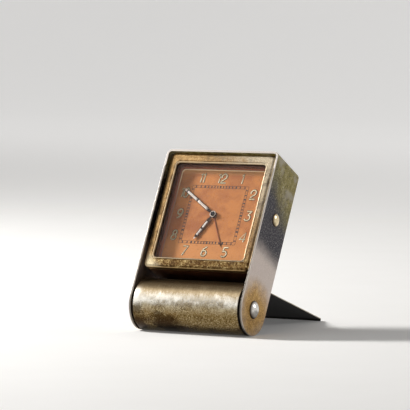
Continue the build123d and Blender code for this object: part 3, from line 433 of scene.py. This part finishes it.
# Case band. A deep square box side of brass, with four corner lugs for the movement. The outside has gone a
# dark red-brown where no hand reaches it.
case_middle = 33.575
case_half = 20.9
case_half_height = 22.425
bezel_front = -7.95
case_brass = Finish("dark_case_brass", Metallic=0.45)
case_cloud = case_brass.noise(4 * mm, 5, 0.7)
case_speck = case_brass.noise(0.3 * mm, 3, 0.7)
case_share = case_cloud * 0.5 + case_speck * 0.5
case_tone = case_brass.ramp(case_share, (0.34, 42, 20, 12), (0.5, 72, 40, 24), (0.66, 112, 72, 42))
case_brass.set(Base_Color=case_tone, Roughness=0.34 + case_speck * 0.2,
               Normal=case_brass.bump(case_speck, 0.12))
polished("case_band", case_brass, 0.08)

# Bezel. A square frame stamped from brass sheet, with a chamfer outside and a thin bead round the opening.
# Its old lacquer has gone mottled: gold at the left, where it is also painted lighter as light from that
# side, grey towards the upper right, pitted along the bottom and rubbed pale at the lower left corner. The
# bead carries a painted highlight, and the inner wall of the opening painted shade.
aperture_half = 18.0
aperture_half_height = 18.525
bezel_brass = Finish("mottled_bezel_brass", Metallic=1)
frame_x, frame_d, frame_u = clock_axes(bezel_brass)
frame_v = frame_u - case_middle
bezel_cloud = bezel_brass.noise(3.5 * mm, 5, 0.7)
bezel_speck = bezel_brass.noise(0.3 * mm, 4, 0.75)
bezel_pits = bezel_brass.noise(0.5 * mm, 4, 0.75) * 0.6 + bezel_brass.noise(1.6 * mm, 4, 0.7) * 0.4
# The left side is gold and painted lighter, partly lacquer colour and partly painted light from the left.
gold_and_lit_share = bezel_brass.between(frame_x * -1 + (bezel_cloud - 0.5) * 30, -2, 16)
grey_share = bezel_brass.between(frame_x * 0.8 + frame_v * 0.6 + (bezel_cloud - 0.5) * 34, 8, 24)
low_share = bezel_brass.between(frame_v + (bezel_cloud - 0.5) * 4, -17, -19.5)
mottle = bezel_brass.ramp(bezel_speck, (0.38, 84, 62, 42), (0.5, 118, 92, 62), (0.62, 158, 136, 102))
gold = bezel_brass.ramp(bezel_speck, (0.38, 92, 68, 42), (0.5, 148, 116, 76), (0.62, 198, 168, 120))
grey = bezel_brass.ramp(bezel_speck, (0.36, 112, 100, 84), (0.5, 156, 142, 120), (0.64, 192, 182, 160))
pitted = bezel_brass.ramp(bezel_pits, (0.4, 50, 33, 18), (0.48, 82, 60, 34), (0.54, 116, 94, 58),
                          (0.63, 170, 152, 110))
bezel_tone = bezel_brass.mix(grey_share, bezel_brass.mix(gold_and_lit_share, mottle, gold), grey)
bezel_tone = bezel_brass.mix(low_share, bezel_tone, pitted)
corner_share = bezel_brass.between(frame_x * -1 - frame_v + (bezel_speck - 0.5) * 14, 35, 41)
bezel_tone = bezel_brass.mix(bezel_brass.between(bezel_cloud + (bezel_speck - 0.5) * 0.4, 0.46, 0.66) * 0.65,
                             bezel_tone, tint(54, 38, 26))
bezel_tone = bezel_brass.mix(corner_share * 0.7, bezel_tone, tint(224, 208, 172))
from_edge_x = case_half - abs(frame_x)
from_edge_v = case_half_height - abs(frame_v)
edge_wear = bezel_brass.between(from_edge_x + (bezel_speck - 0.5) * 0.5, 0.35, 0.05)
edge_wear = edge_wear + bezel_brass.between(from_edge_v + (bezel_speck - 0.5) * 0.5, 0.35, 0.05)
bezel_tone = bezel_brass.mix(edge_wear * 0.6, bezel_tone, tint(196, 164, 114))
# The bead is painted lighter all round as a painted highlight.
on_bead = (abs(frame_x) < aperture_half + 0.5) * (abs(frame_v) < aperture_half_height + 0.5)
bezel_tone = bezel_brass.mix(on_bead * 0.4, bezel_tone, tint(190, 174, 146))
# Painted shade on the inner wall of the opening, behind the front.
opening_shade = bezel_brass.between(frame_d, bezel_front + 0.25, bezel_front + 0.6)
in_opening = (abs(frame_x) < aperture_half + 0.15) * (abs(frame_v) < aperture_half_height + 0.15)
bezel_tone = bezel_brass.mix(opening_shade * in_opening * 0.75, bezel_tone, tint(56, 38, 26))
bezel_brass.set(Base_Color=bezel_tone, Roughness=0.28 + bezel_speck * 0.24,
                Normal=bezel_brass.bump(bezel_speck + bezel_pits, 0.2))
polished("bezel", bezel_brass, 0.07, angle=15)

# Glass. A flat plate of mineral glass set behind the bezel and held by the dial's frame, with a few faint
# smears. It is nearly clear from the front and mirrors more at a slant.
glass = Finish("glass", Metallic=1, Base_Color=(0.9, 0.92, 0.92, 1))
smear = glass.between(glass.noise(6 * mm, 3), 0.45, 0.75)
gleam = glass.node("ShaderNodeFresnel", {}, {"IOR": 1.5})
glass.set(Roughness=0.02 + smear * 0.06, Alpha=0.002 + smear * 0.003 + gleam * 0.3)
polished("glass", glass, 0.08)

# Dial surround. A deep frame with sloping walls between the glass and the dial, of brass under brown
# lacquer. The lacquer has faded to a greyish purple near the glass.
brown = Finish("brown_surround", Metallic=0.1, Coat_Roughness=0.25)
wall_d = clock_axes(brown)[1]
wall_cloud = brown.noise(3 * mm, 4, 0.65)
wall_speck = brown.noise(0.3 * mm, 3, 0.7)
faded = brown.between(wall_d + (wall_cloud - 0.5) * 0.5, bezel_front + 2.35, bezel_front + 1.95)
wall_tone = brown.mix(faded, tint(112, 58, 22), tint(104, 82, 76))
wall_tone = brown.mix(brown.between(wall_cloud, 0.4, 0.7) * 0.6, wall_tone, tint(66, 38, 24))
brown.set(Base_Color=wall_tone, Roughness=0.32 + wall_speck * 0.15, Coat_Weight=0.2 + wall_speck * 0.2,
          Normal=brown.bump(wall_speck, 0.08))
polished("dial_surround", brown, 0.04)

# Dial. A stamped copper-plated brass plate with a raised bevel all round, its face grained and lacquered.
# The lacquer has yellowed unevenly. The face is painted lighter towards the foot as painted light, with a
# painted highlight strip along the top and the right. The bevel's inner part carries a painted highlight
# towards the upper right and painted shade towards the lower left, and its outer part is browned.
dial_face = 3.5
copper = Finish("lacquered_dial_copper", Metallic=0.35, Coat_Roughness=0.3)
dial_x, dial_d, dial_u = clock_axes(copper)
dial_v = dial_u - case_middle
dial_cloud = copper.noise(8 * mm, 5, 0.6)
dial_grain = copper.noise(0.16 * mm, 3, 0.6)
dial_spot = copper.noise(1.4 * mm, 5, 0.75)
# The lower part of the face is painted lighter, as painted light.
dial_lower_light = copper.between(dial_v * -1 + (dial_cloud - 0.5) * 10, 4, 15)
dial_tone = copper.mix(copper.between(dial_cloud, 0.36, 0.64), tint(158, 88, 30), tint(192, 120, 52))
dial_tone = copper.mix(dial_lower_light, dial_tone, tint(202, 132, 66))
dial_tone = copper.mix(copper.between(dial_spot, 0.56, 0.7) * 0.45, dial_tone, tint(124, 68, 26))
dial_tone = copper.mix(copper.between(dial_grain, 0.4, 0.7) * 0.25, dial_tone, tint(166, 96, 40))
on_bevel = copper.between(dial_d, bezel_front + dial_face - 0.02, bezel_front + dial_face - 0.06)
# The bevel's inner part is painted bright towards the upper right as a highlight and darker towards the lower
# left as shade.
lit_side = copper.between(dial_v + dial_x * 0.6, -6, 8)
# A painted highlight strip along the top and the right of the face.
lit_strip = copper.between(dial_v, 15.2, 17.0) * 0.75 + copper.between(dial_x, 15.4, 16.6) * 0.35
dial_tone = copper.mix(lit_strip, dial_tone, tint(255, 186, 118))
dial_tone = copper.mix(on_bevel, dial_tone, copper.mix(lit_side, tint(150, 108, 84), tint(255, 224, 176)))
outer_bevel = copper.between(dial_d, bezel_front + dial_face - 0.16, bezel_front + dial_face - 0.26)
dial_tone = copper.mix(outer_bevel, dial_tone, tint(146, 72, 18))
copper.set(Base_Color=dial_tone, Roughness=0.42 + dial_grain * 0.14, Coat_Weight=0.02 + dial_spot * 0.06,
           Normal=copper.bump(dial_grain, 0.1))
polished("dial", copper, 0.03, angle=15)

# Numerals. Raised figures one to twelve, each a thin cream-painted stroke on an olive ground that shows
# round it as an outline. They stand upright with a slight lean, round all four sides of the dial.
figure_height = 3.8
figure_slant = 0.1
figure_stroke = 0.44
figure_outline = 0.76
figure_rise = 0.05


def bow(middle_x, middle_y, radius_x, radius_y, start, end, steps=14):
    """Points along part of an oval, between two angles in degrees."""
    return [(middle_x + radius_x * cos(radians(start + (end - start) * step / steps)),
             middle_y + radius_y * sin(radians(start + (end - start) * step / steps)))
            for step in range(steps + 1)]


# Each figure's width and its strokes, in shares of the figure height
figures = {
    "0": (0.56, [bow(0.28, 0.5, 0.24, 0.47, 90, 450, 24)]),
    "1": (0.30, [[(0.02, 0.8), (0.2, 0.97), (0.2, 0.03)]]),
    "2": (0.66, [bow(0.32, 0.68, 0.26, 0.29, 200, -40) + [(0.12, 0.18)], [(0.04, 0.03), (0.62, 0.03)]]),
    "3": (0.66, [[(0.08, 0.97), (0.6, 0.97)],
                 [(0.6, 0.97), (0.3, 0.6)] + bow(0.3, 0.31, 0.28, 0.28, 80, -160)]),
    "4": (0.66, [[(0.5, 0.03), (0.5, 0.97), (0.04, 0.3), (0.64, 0.3)]]),
    "5": (0.62, [[(0.56, 0.97), (0.14, 0.97), (0.1, 0.56)] + bow(0.28, 0.31, 0.28, 0.28, 120, -150)]),
    "6": (0.62, [[(0.46, 0.97)] + bow(0.5, 0.4, 0.44, 0.5, 115, 180, 6)
                 + bow(0.3, 0.3, 0.25, 0.27, 180, 520, 22)]),
    "7": (0.62, [[(0.04, 0.97), (0.58, 0.97), (0.18, 0.03)]]),
    "8": (0.60, [bow(0.3, 0.74, 0.2, 0.22, 270, 630, 20), bow(0.3, 0.27, 0.25, 0.25, 90, 450, 20)]),
    "9": (0.62, [[(0.16, 0.03)] + bow(0.12, 0.6, 0.44, 0.5, -65, 0, 6)
                 + bow(0.32, 0.7, 0.25, 0.27, 0, 340, 22)]),
}
row_height = 14.26
row_step = 8.05
column_reach = 13.8
column_step = 8.3
hour_places = {1: (row_step, row_height), 2: (column_reach, column_step), 3: (column_reach, 0),
               4: (column_reach, -column_step), 5: (row_step, -row_height), 6: (0, -row_height),
               7: (-row_step, -row_height), 8: (-column_reach, -column_step), 9: (-column_reach, 0),
               10: (-column_reach, column_step), 11: (-row_step, row_height), 12: (0, row_height)}


def on_dial(depth):
    """The place of a drawing that faces the viewer at a depth behind the bezel's front."""
    middle = Matrix.Translation((0, (bezel_front + depth) * mm, case_middle * mm))
    return clock_frame @ middle @ Matrix.Rotation(pi / 2, 4, "X")


class Pattern(Graph):
    """A Geometry Nodes tree with named sizes, which grows a plain mesh once."""

    def __init__(self, name, **sizes):
        self.tree = bpy.data.node_groups.new(name, "GeometryNodeTree")
        self.tree.interface.new_socket("Drawing", in_out="INPUT", socket_type="NodeSocketGeometry")
        self.tree.interface.new_socket("Result", in_out="OUTPUT", socket_type="NodeSocketGeometry")
        self.values = {}
        for size, value in sizes.items():
            kind = "NodeSocketInt" if isinstance(value, int) else "NodeSocketFloat"
            socket = self.tree.interface.new_socket(size.replace("_", " "), in_out="INPUT", socket_type=kind)
            self.values[socket.identifier] = value
        self.start = self.tree.nodes.new("NodeGroupInput")

    def size(self, name):
        """One of the named sizes, or the drawing itself."""
        return Tone(self, self.start.outputs[name.replace("_", " ")])

    def vector(self, x, y, z):
        return self.node("ShaderNodeCombineXYZ", {}, {0: x, 1: y, 2: z})

    def rectangle(self, width, height):
        return self.node("GeometryNodeCurvePrimitiveQuadrilateral", {"mode": "RECTANGLE"},
                         {"Width": width, "Height": height})

    def level(self, curve):
        """A curve whose normals lie in the drawing's plane, so that a section along it doesn't twist."""
        return self.node("GeometryNodeSetCurveNormal", {"mode": "Z_UP"}, {"Curve": curve})

    def coated(self, geometry, finish):
        return self.node("GeometryNodeSetMaterial", {}, {"Geometry": geometry, "Material": finish.material})

    def joined(self, *geometries):
        return self.node("GeometryNodeJoinGeometry", {}, {"Geometry": list(geometries)})

    def grow(self, geometry, place, body, slot, drawing=None):
        """Grows the mesh, puts it in its place and lets it ride on a body."""
        end = self.tree.nodes.new("NodeGroupOutput")
        whole = self.node("GeometryNodeRealizeInstances", {}, {0: geometry})
        self.tree.links.new(whole.socket, end.inputs[0])
        piece = bpy.data.objects.new(self.tree.name, drawing or bpy.data.meshes.new(self.tree.name))
        bpy.context.collection.objects.link(piece)
        grower = piece.modifiers.new("pattern", "NODES")
        grower.node_group = self.tree
        for identifier, value in self.values.items():
            grower[identifier] = value
        shaped = piece.evaluated_get(bpy.context.evaluated_depsgraph_get())
        mesh = bpy.data.meshes.new_from_object(shaped)
        piece.modifiers.clear()
        piece.data = mesh
        mesh.transform(place)
        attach(piece, body)


cream_paint = Finish("cream_figure_paint")
cream_wear = cream_paint.noise(0.7 * mm, 4, 0.7)
cream_tone = cream_paint.mix(
    cream_paint.between(cream_wear, 0.5, 0.72), tint(250, 234, 190), tint(206, 176, 120))
cream_paint.set(Base_Color=cream_tone, Roughness=0.45 + cream_wear * 0.2,
                Normal=cream_paint.bump(cream_wear, 0.1))
olive_ground = Finish("olive_figure_ground")
olive_wear = olive_ground.noise(0.6 * mm, 4, 0.7)
olive_tone = olive_ground.mix(
    olive_ground.between(olive_wear, 0.42, 0.68), tint(66, 46, 24), tint(116, 80, 46))
olive_ground.set(Base_Color=olive_tone, Roughness=0.5 + olive_wear * 0.2,
                 Normal=olive_ground.bump(olive_wear, 0.1))
figure_points = []
figure_edges = []
for hour, (hour_x, hour_v) in hour_places.items():
    width = sum(figures[digit][0] for digit in str(hour)) * figure_height
    start = -width / 2
    for digit in str(hour):
        for stroke in figures[digit][1]:
            first = len(figure_points)
            for x, y in stroke:
                rise = (y - 0.5) * figure_height
                figure_points.append(((hour_x + start + x * figure_height + figure_slant * rise) * mm,
                                      (hour_v + rise) * mm, 0))
            figure_edges += [(i, i + 1) for i in range(first, len(figure_points) - 1)]
        start += figures[digit][0] * figure_height
figure_drawing = bpy.data.meshes.new("figure_strokes")
figure_drawing.from_pydata(figure_points, figure_edges, [])
pen = Pattern("dial_figures", Stroke=figure_stroke * mm, Outline=figure_outline * mm, Rise=figure_rise * mm)
line = pen.level(pen.node("GeometryNodeMeshToCurve", {}, {"Mesh": pen.size("Drawing")}))
layers = []
for breadth, height, paint in ((pen.size("Outline"), pen.size("Rise"), olive_ground),
                               (pen.size("Stroke"), pen.size("Rise") * 2, cream_paint)):
    ribbon = pen.node("GeometryNodeCurveToMesh", {}, {
        "Curve": line, "Profile Curve": pen.rectangle(breadth, height), "Fill Caps": True})
    layers.append(pen.coated(ribbon, paint))
pen.grow(pen.joined(*layers), on_dial(dial_face), "clock", "dial_copper", figure_drawing)

# Minute track. Sixty fine strokes printed between two thin lines that run round a square, with a bolder
# mark at every fifth. The brown ink has faded and broken up.
track_half = 10.87
track_stroke = 0.38
track_length = 0.9
track_bold = 0.6
track_line = 0.42
track_rise = 0.03
faded_ink = Finish("faded_brown_ink")
ink_wear = faded_ink.noise(0.9 * mm, 4, 0.75)
ink_tone = faded_ink.mix(faded_ink.between(ink_wear, 0.54, 0.7), tint(28, 13, 8), tint(98, 56, 30))
faded_ink.set(Base_Color=ink_tone, Roughness=0.55 + ink_wear * 0.2)
track = Pattern("minute_track", Marks=60, Half=track_half * mm, Stroke=track_stroke * mm,
                Bold=track_bold * mm, Length=track_length * mm, Rise=track_rise * mm)
count = track.node("GeometryNodeInputIndex")
bearing = count * (2 * pi) / track.size("Marks")
across = track.node("ShaderNodeMath", {"operation": "SINE"}, {0: bearing})
up = track.node("ShaderNodeMath", {"operation": "COSINE"}, {0: bearing})
longest = track.node("ShaderNodeMath", {"operation": "MAXIMUM"}, {0: abs(across), 1: abs(up)})
reach = track.size("Half") / longest
marks = track.node("GeometryNodeMeshLine", {}, {"Count": track.size("Marks")})
marks = track.node("GeometryNodeSetPosition", {}, {
    "Geometry": marks, "Position": track.vector(across * reach, up * reach, 0.0)})
stroke_box = track.node("GeometryNodeMeshCube", {}, {
    "Size": track.vector(track.size("Stroke"), track.size("Length"), track.size("Rise"))})
fifth = (count % 5) < 0.5
sideways = (abs(across) > abs(up)) * (pi / 2)
swell = 1 + fifth * (track.size("Bold") / track.size("Stroke") - 1)
strokes = track.node("GeometryNodeInstanceOnPoints", {}, {
    "Points": marks, "Instance": stroke_box, "Rotation": track.vector(0.0, 0.0, sideways),
    "Scale": track.vector(swell, 1.0, 1.0)})
rings = []
for offset in (-0.5, 0.5):
    side = (track.size("Half") + track.size("Length") * offset) * 2
    square = track.level(track.rectangle(side, side))
    section = track.rectangle(track.size("Stroke") * track_line, track.size("Rise"))
    rings.append(track.node("GeometryNodeCurveToMesh", {}, {"Curve": square, "Profile Curve": section}))
printed = track.coated(track.joined(strokes, *rings), faded_ink)
track.grow(printed, on_dial(dial_face), "clock", "dial_copper")

# Hands. Stamped steel, browned nearly black, with polished bosses and tips. The hour and minute hands are
# open batons, whose two slots hold a pale luminous paste. The alarm hand is a thin coppered arrow.
hand_thickness = 0.18
hand_boss = 1.25
hand_point = 1.6


def from_arbor(finish):
    """The square of the distance from the hands' arbor."""
    across, _, height = clock_axes(finish)
    up = height - case_middle
    return across * across + up * up


hand_steel = Finish("browned_hand_steel", Metallic=0.85)
hand_reach = from_arbor(hand_steel)
hand_cloud = hand_steel.noise(0.8 * mm, 4, 0.7)
boss_share = hand_steel.between(hand_reach, 1.5, 1.35)
tip_share = hand_steel.between(hand_reach + (hand_cloud - 0.5) * 6, 15.1 ** 2, 15.7 ** 2)
hand_tone = hand_steel.mix(hand_cloud, tint(34, 28, 27), tint(66, 52, 46))
hand_tone = hand_steel.mix(boss_share * 0.8 + tip_share, hand_tone, tint(206, 188, 174))
hand_steel.set(Base_Color=hand_tone, Roughness=0.22 + hand_cloud * 0.2,
               Normal=hand_steel.bump(hand_cloud, 0.08))
polished("minute_hand", hand_steel, 0.03)
hour_steel = Finish("browned_hour_hand_steel", Metallic=0.85)
hour_reach = from_arbor(hour_steel)
hour_cloud = hour_steel.noise(0.8 * mm, 4, 0.7)
hour_tone = hour_steel.mix(hour_cloud, tint(38, 30, 28), tint(78, 60, 50))
hour_tip = hour_steel.between(hour_reach + (hour_cloud - 0.5) * 4, 10.2 ** 2, 10.7 ** 2)
hour_steel.set(Base_Color=hour_steel.mix(hour_tip, hour_tone, tint(222, 206, 196)),
               Roughness=0.22 + hour_cloud * 0.2, Normal=hour_steel.bump(hour_cloud, 0.08))
polished("hour_hand", hour_steel, 0.03)
alarm_copper = Finish("coppered_alarm_hand", Metallic=0.7)
alarm_reach = from_arbor(alarm_copper)
alarm_cloud = alarm_copper.noise(0.6 * mm, 4, 0.7)
alarm_tip = alarm_copper.between(alarm_reach, 11.8 ** 2, 12.2 ** 2)
alarm_tone = alarm_copper.mix(alarm_cloud, tint(104, 54, 34), tint(158, 92, 60))
alarm_tone = alarm_copper.mix(alarm_tip, alarm_tone, tint(52, 28, 20))
alarm_copper.set(Base_Color=alarm_tone, Roughness=0.3 + alarm_cloud * 0.2,
                 Normal=alarm_copper.bump(alarm_cloud, 0.08))
polished("alarm_hand", alarm_copper, 0.02)
cap_black = Finish("black_hand_cap", Metallic=0.3)
cap_cloud = cap_black.noise(0.5 * mm, 3, 0.6)
cap_black.set(Base_Color=cap_black.mix(cap_cloud, tint(16, 15, 18), tint(40, 38, 44)),
              Roughness=0.12 + cap_cloud * 0.1)
polished("hand_cap", cap_black, 0.06)

lume = Finish("pale_luminous_paste")
lume_grit = lume.noise(0.15 * mm, 4, 0.8)
lume_cloud = lume.noise(1.6 * mm, 4, 0.6)
lume_tone = lume.mix(lume.between(lume_cloud, 0.35, 0.7), tint(255, 248, 238), tint(244, 226, 212))
lume_tone = lume.mix(lume.between(lume_grit, 0.58, 0.75) * 0.5, lume_tone, tint(150, 120, 104))
lume.set(Base_Color=lume_tone, Roughness=0.6 + lume_grit * 0.25, Normal=lume.bump(lume_grit, 0.3))
lume_crown = 0.06
lume_shoulder = 0.01
lume_steps = 8
# Each hand's body, length, width, angle from twelve, depth behind the bezel and share of its width in paste
pasted_hands = {"minute_hand": ("minute_arbor", 16.7, 1.15, 304.6, 2.6, 0.78),
                "hour_hand": ("hour_pipe", 11.3, 1.35, 208.4, 2.9, 0.56)}
for hand_name, hand_values in pasted_hands.items():
    body, hand_length, hand_width, hand_angle, hand_depth, paste_share = hand_values
    slot_bottom = hand_boss + hand_width + hand_width / 4
    slot_run = (hand_length - hand_point - slot_bottom) / 2
    half_paste = paste_share * hand_width / 2
    paste = bmesh.new()
    for slot_count in range(2):
        low = slot_bottom + slot_count * slot_run + hand_width / 4
        high = low + slot_run - hand_width / 2
        rows = []
        for step in range(lume_steps + 1):
            share = step / lume_steps
            crown = lume_crown * sqrt(max(0.0, 1 - (2 * share - 1) ** 6))
            y = low + (high - low) * share
            section = ((-half_paste, -hand_thickness / 2), (-half_paste, lume_shoulder),
                       (-half_paste / 2, crown), (half_paste / 2, crown),
                       (half_paste, lume_shoulder), (half_paste, -hand_thickness / 2))
            rows.append([paste.verts.new((x * mm, y * mm, z * mm)) for x, z in section])
        for before, after in zip(rows, rows[1:]):
            for i in range(len(before)):
                j = (i + 1) % len(before)
                paste.faces.new((before[i], before[j], after[j], after[i]))
        paste.faces.new(rows[0][::-1])
        paste.faces.new(rows[-1])
    bmesh.ops.recalc_face_normals(paste, faces=paste.faces)
    paste_mesh = bpy.data.meshes.new(hand_name + "_paste")
    paste.to_mesh(paste_mesh)
    paste.free()
    paste_mesh.shade_smooth()
    paste_mesh.transform(on_dial(hand_depth) @ Matrix.Rotation(-radians(hand_angle), 4, "Z"))
    paste_mesh.materials.append(lume.material)
    paste_piece = bpy.data.objects.new(hand_name + "_paste", paste_mesh)
    bpy.context.collection.objects.link(paste_piece)
    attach(paste_piece, body)

# Movement plates and pillars. Thick brass plates, grained with a wheel and gilded, held apart by four
# pillars. The case hides the movement, so its pieces keep their CAD shapes and only take a finish.
plate_brass = Finish("grained_plate_brass", Metallic=1)
plate_grain = plate_brass.noise(0.12 * mm, 3, 0.6, plate_brass.stretched((0.08, 1, 1), (lean, 0, 0)))
plate_cloud = plate_brass.noise(6 * mm, 4, 0.6)
plate_brass.set(Base_Color=plate_brass.mix(plate_cloud, tint(196, 152, 82), tint(170, 124, 62)),
                Roughness=0.28 + plate_grain * 0.22, Normal=plate_brass.bump(plate_grain, 0.15))
plate_brass.give("main_plate", "train_plate", "plate_pillars")

# Wheels. Cut from sheet brass, the train's wheels with spokes and in one piece with their pinions. The brass
# is straw-grained and a little lighter than the plates.
wheel_brass = Finish("straw_grained_wheel_brass", Metallic=1)
wheel_grain = wheel_brass.noise(0.1 * mm, 3, 0.6, wheel_brass.stretched((1, 1, 0.1), (lean, 0, 0)))
wheel_cloud = wheel_brass.noise(3 * mm, 4, 0.6)
wheel_brass.set(Base_Color=wheel_brass.mix(wheel_cloud, tint(214, 172, 96), tint(186, 142, 74)),
                Roughness=0.24 + wheel_grain * 0.2, Normal=wheel_brass.bump(wheel_grain, 0.12))
wheel_brass.give("centre_wheel", "third_wheel", "fourth_wheel", "minute_wheel", "hour_wheel", "alarm_wheel",
                 "alarm_star_wheel", "escape_wheel", "balance_wheel")

# Barrels. Turned brass drums with toothed rims and snapped-in lids, which hold the mainsprings. Oil has
# darkened them in clouds.
barrel_brass = Finish("turned_barrel_brass", Metallic=1)
barrel_grain = barrel_brass.noise(0.12 * mm, 3, 0.6)
barrel_cloud = barrel_brass.noise(4 * mm, 4, 0.65)
barrel_brass.set(Base_Color=barrel_brass.mix(barrel_cloud, tint(202, 158, 86), tint(158, 114, 58)),
                 Roughness=0.26 + barrel_grain * 0.2, Normal=barrel_brass.bump(barrel_grain, 0.12))
barrel_brass.give("going_barrel", "going_barrel_lid", "alarm_barrel", "alarm_barrel_lid")

# Arbors, fork, hammer and regulator. Hardened steel, turned or filed and left grey from tempering oil,
# with a fine grain.
arbor_steel = Finish("grey_arbor_steel", Metallic=1)
steel_grain = arbor_steel.noise(0.1 * mm, 3, 0.6)
steel_cloud = arbor_steel.noise(2 * mm, 4, 0.6)
arbor_steel.set(Base_Color=arbor_steel.mix(steel_cloud, tint(178, 178, 182), tint(134, 134, 140)),
                Roughness=0.22 + steel_grain * 0.2, Normal=arbor_steel.bump(steel_grain, 0.1))
arbor_steel.give("centre_arbor", "going_arbor", "alarm_arbor", "alarm_set_arbor", "pallet_fork",
                 "alarm_hammer", "regulator_lever")

# Springs. Rolled steel strip, tempered blue, with brown where the oil has dried. Both mainsprings and the
# hairspring share the finish.
blue_steel = Finish("blued_spring_steel", Metallic=1)
blue_cloud = blue_steel.noise(1.5 * mm, 4, 0.65)
blue_tone = blue_steel.ramp(blue_cloud, (0.35, 52, 66, 122), (0.55, 70, 84, 140), (0.7, 120, 84, 70))
blue_steel.set(Base_Color=blue_tone, Roughness=0.22 + blue_cloud * 0.2,
               Normal=blue_steel.bump(blue_cloud, 0.05))
blue_steel.give("going_mainspring", "alarm_mainspring", "hairspring")

# Back plate and screws. A brass plate let into the case's back, lacquered and plain, since any engraving is
# left out. Four slotted steel screws hold it.
back_brass = Finish("lacquered_back_brass", Metallic=1)
back_grain = back_brass.noise(0.14 * mm, 3, 0.6, back_brass.stretched((0.06, 1, 1), (lean, 0, 0)))
back_cloud = back_brass.noise(7 * mm, 5, 0.65)
back_spot = back_brass.noise(0.8 * mm, 5, 0.75)
back_tone = back_brass.mix(back_cloud, tint(190, 146, 80), tint(146, 104, 56))
back_tone = back_brass.mix(back_brass.between(back_spot, 0.58, 0.72) * 0.6, back_tone, tint(84, 58, 34))
back_brass.set(Base_Color=back_tone, Roughness=0.26 + back_grain * 0.22 + back_spot * 0.08,
               Normal=back_brass.bump(back_grain, 0.15))
polished("back_plate", back_brass, 0.05)
screw_steel = Finish("polished_screw_steel", Metallic=1)
screw_cloud = screw_steel.noise(0.7 * mm, 4, 0.7)
screw_steel.set(Base_Color=screw_steel.mix(screw_cloud, tint(206, 206, 210), tint(172, 168, 166)),
                Roughness=0.18 + screw_cloud * 0.2, Normal=screw_steel.bump(screw_cloud, 0.08))
polished("back_screws", screw_steel, 0.06)

# Keys and knobs. Folding-wing keys of stamped brass wind the two springs, and two knurled brass knobs set the
# time and the alarm. Fingers have rubbed them bright in patches.
key_brass = Finish("rubbed_key_brass", Metallic=1)
key_cloud = key_brass.noise(1.8 * mm, 5, 0.7)
key_grain = key_brass.noise(0.14 * mm, 3, 0.6)
key_tone = key_brass.ramp(key_cloud, (0.34, 168, 128, 70), (0.5, 214, 176, 106), (0.64, 240, 212, 152))
key_brass.set(Base_Color=key_tone, Roughness=0.22 + key_cloud * 0.2 + key_grain * 0.08,
              Normal=key_brass.bump(key_grain + key_cloud, 0.12))
for name in ("going_key", "alarm_key", "time_set_knob", "alarm_set_knob"):
    polished(name, key_brass, 0.05, angle=40)
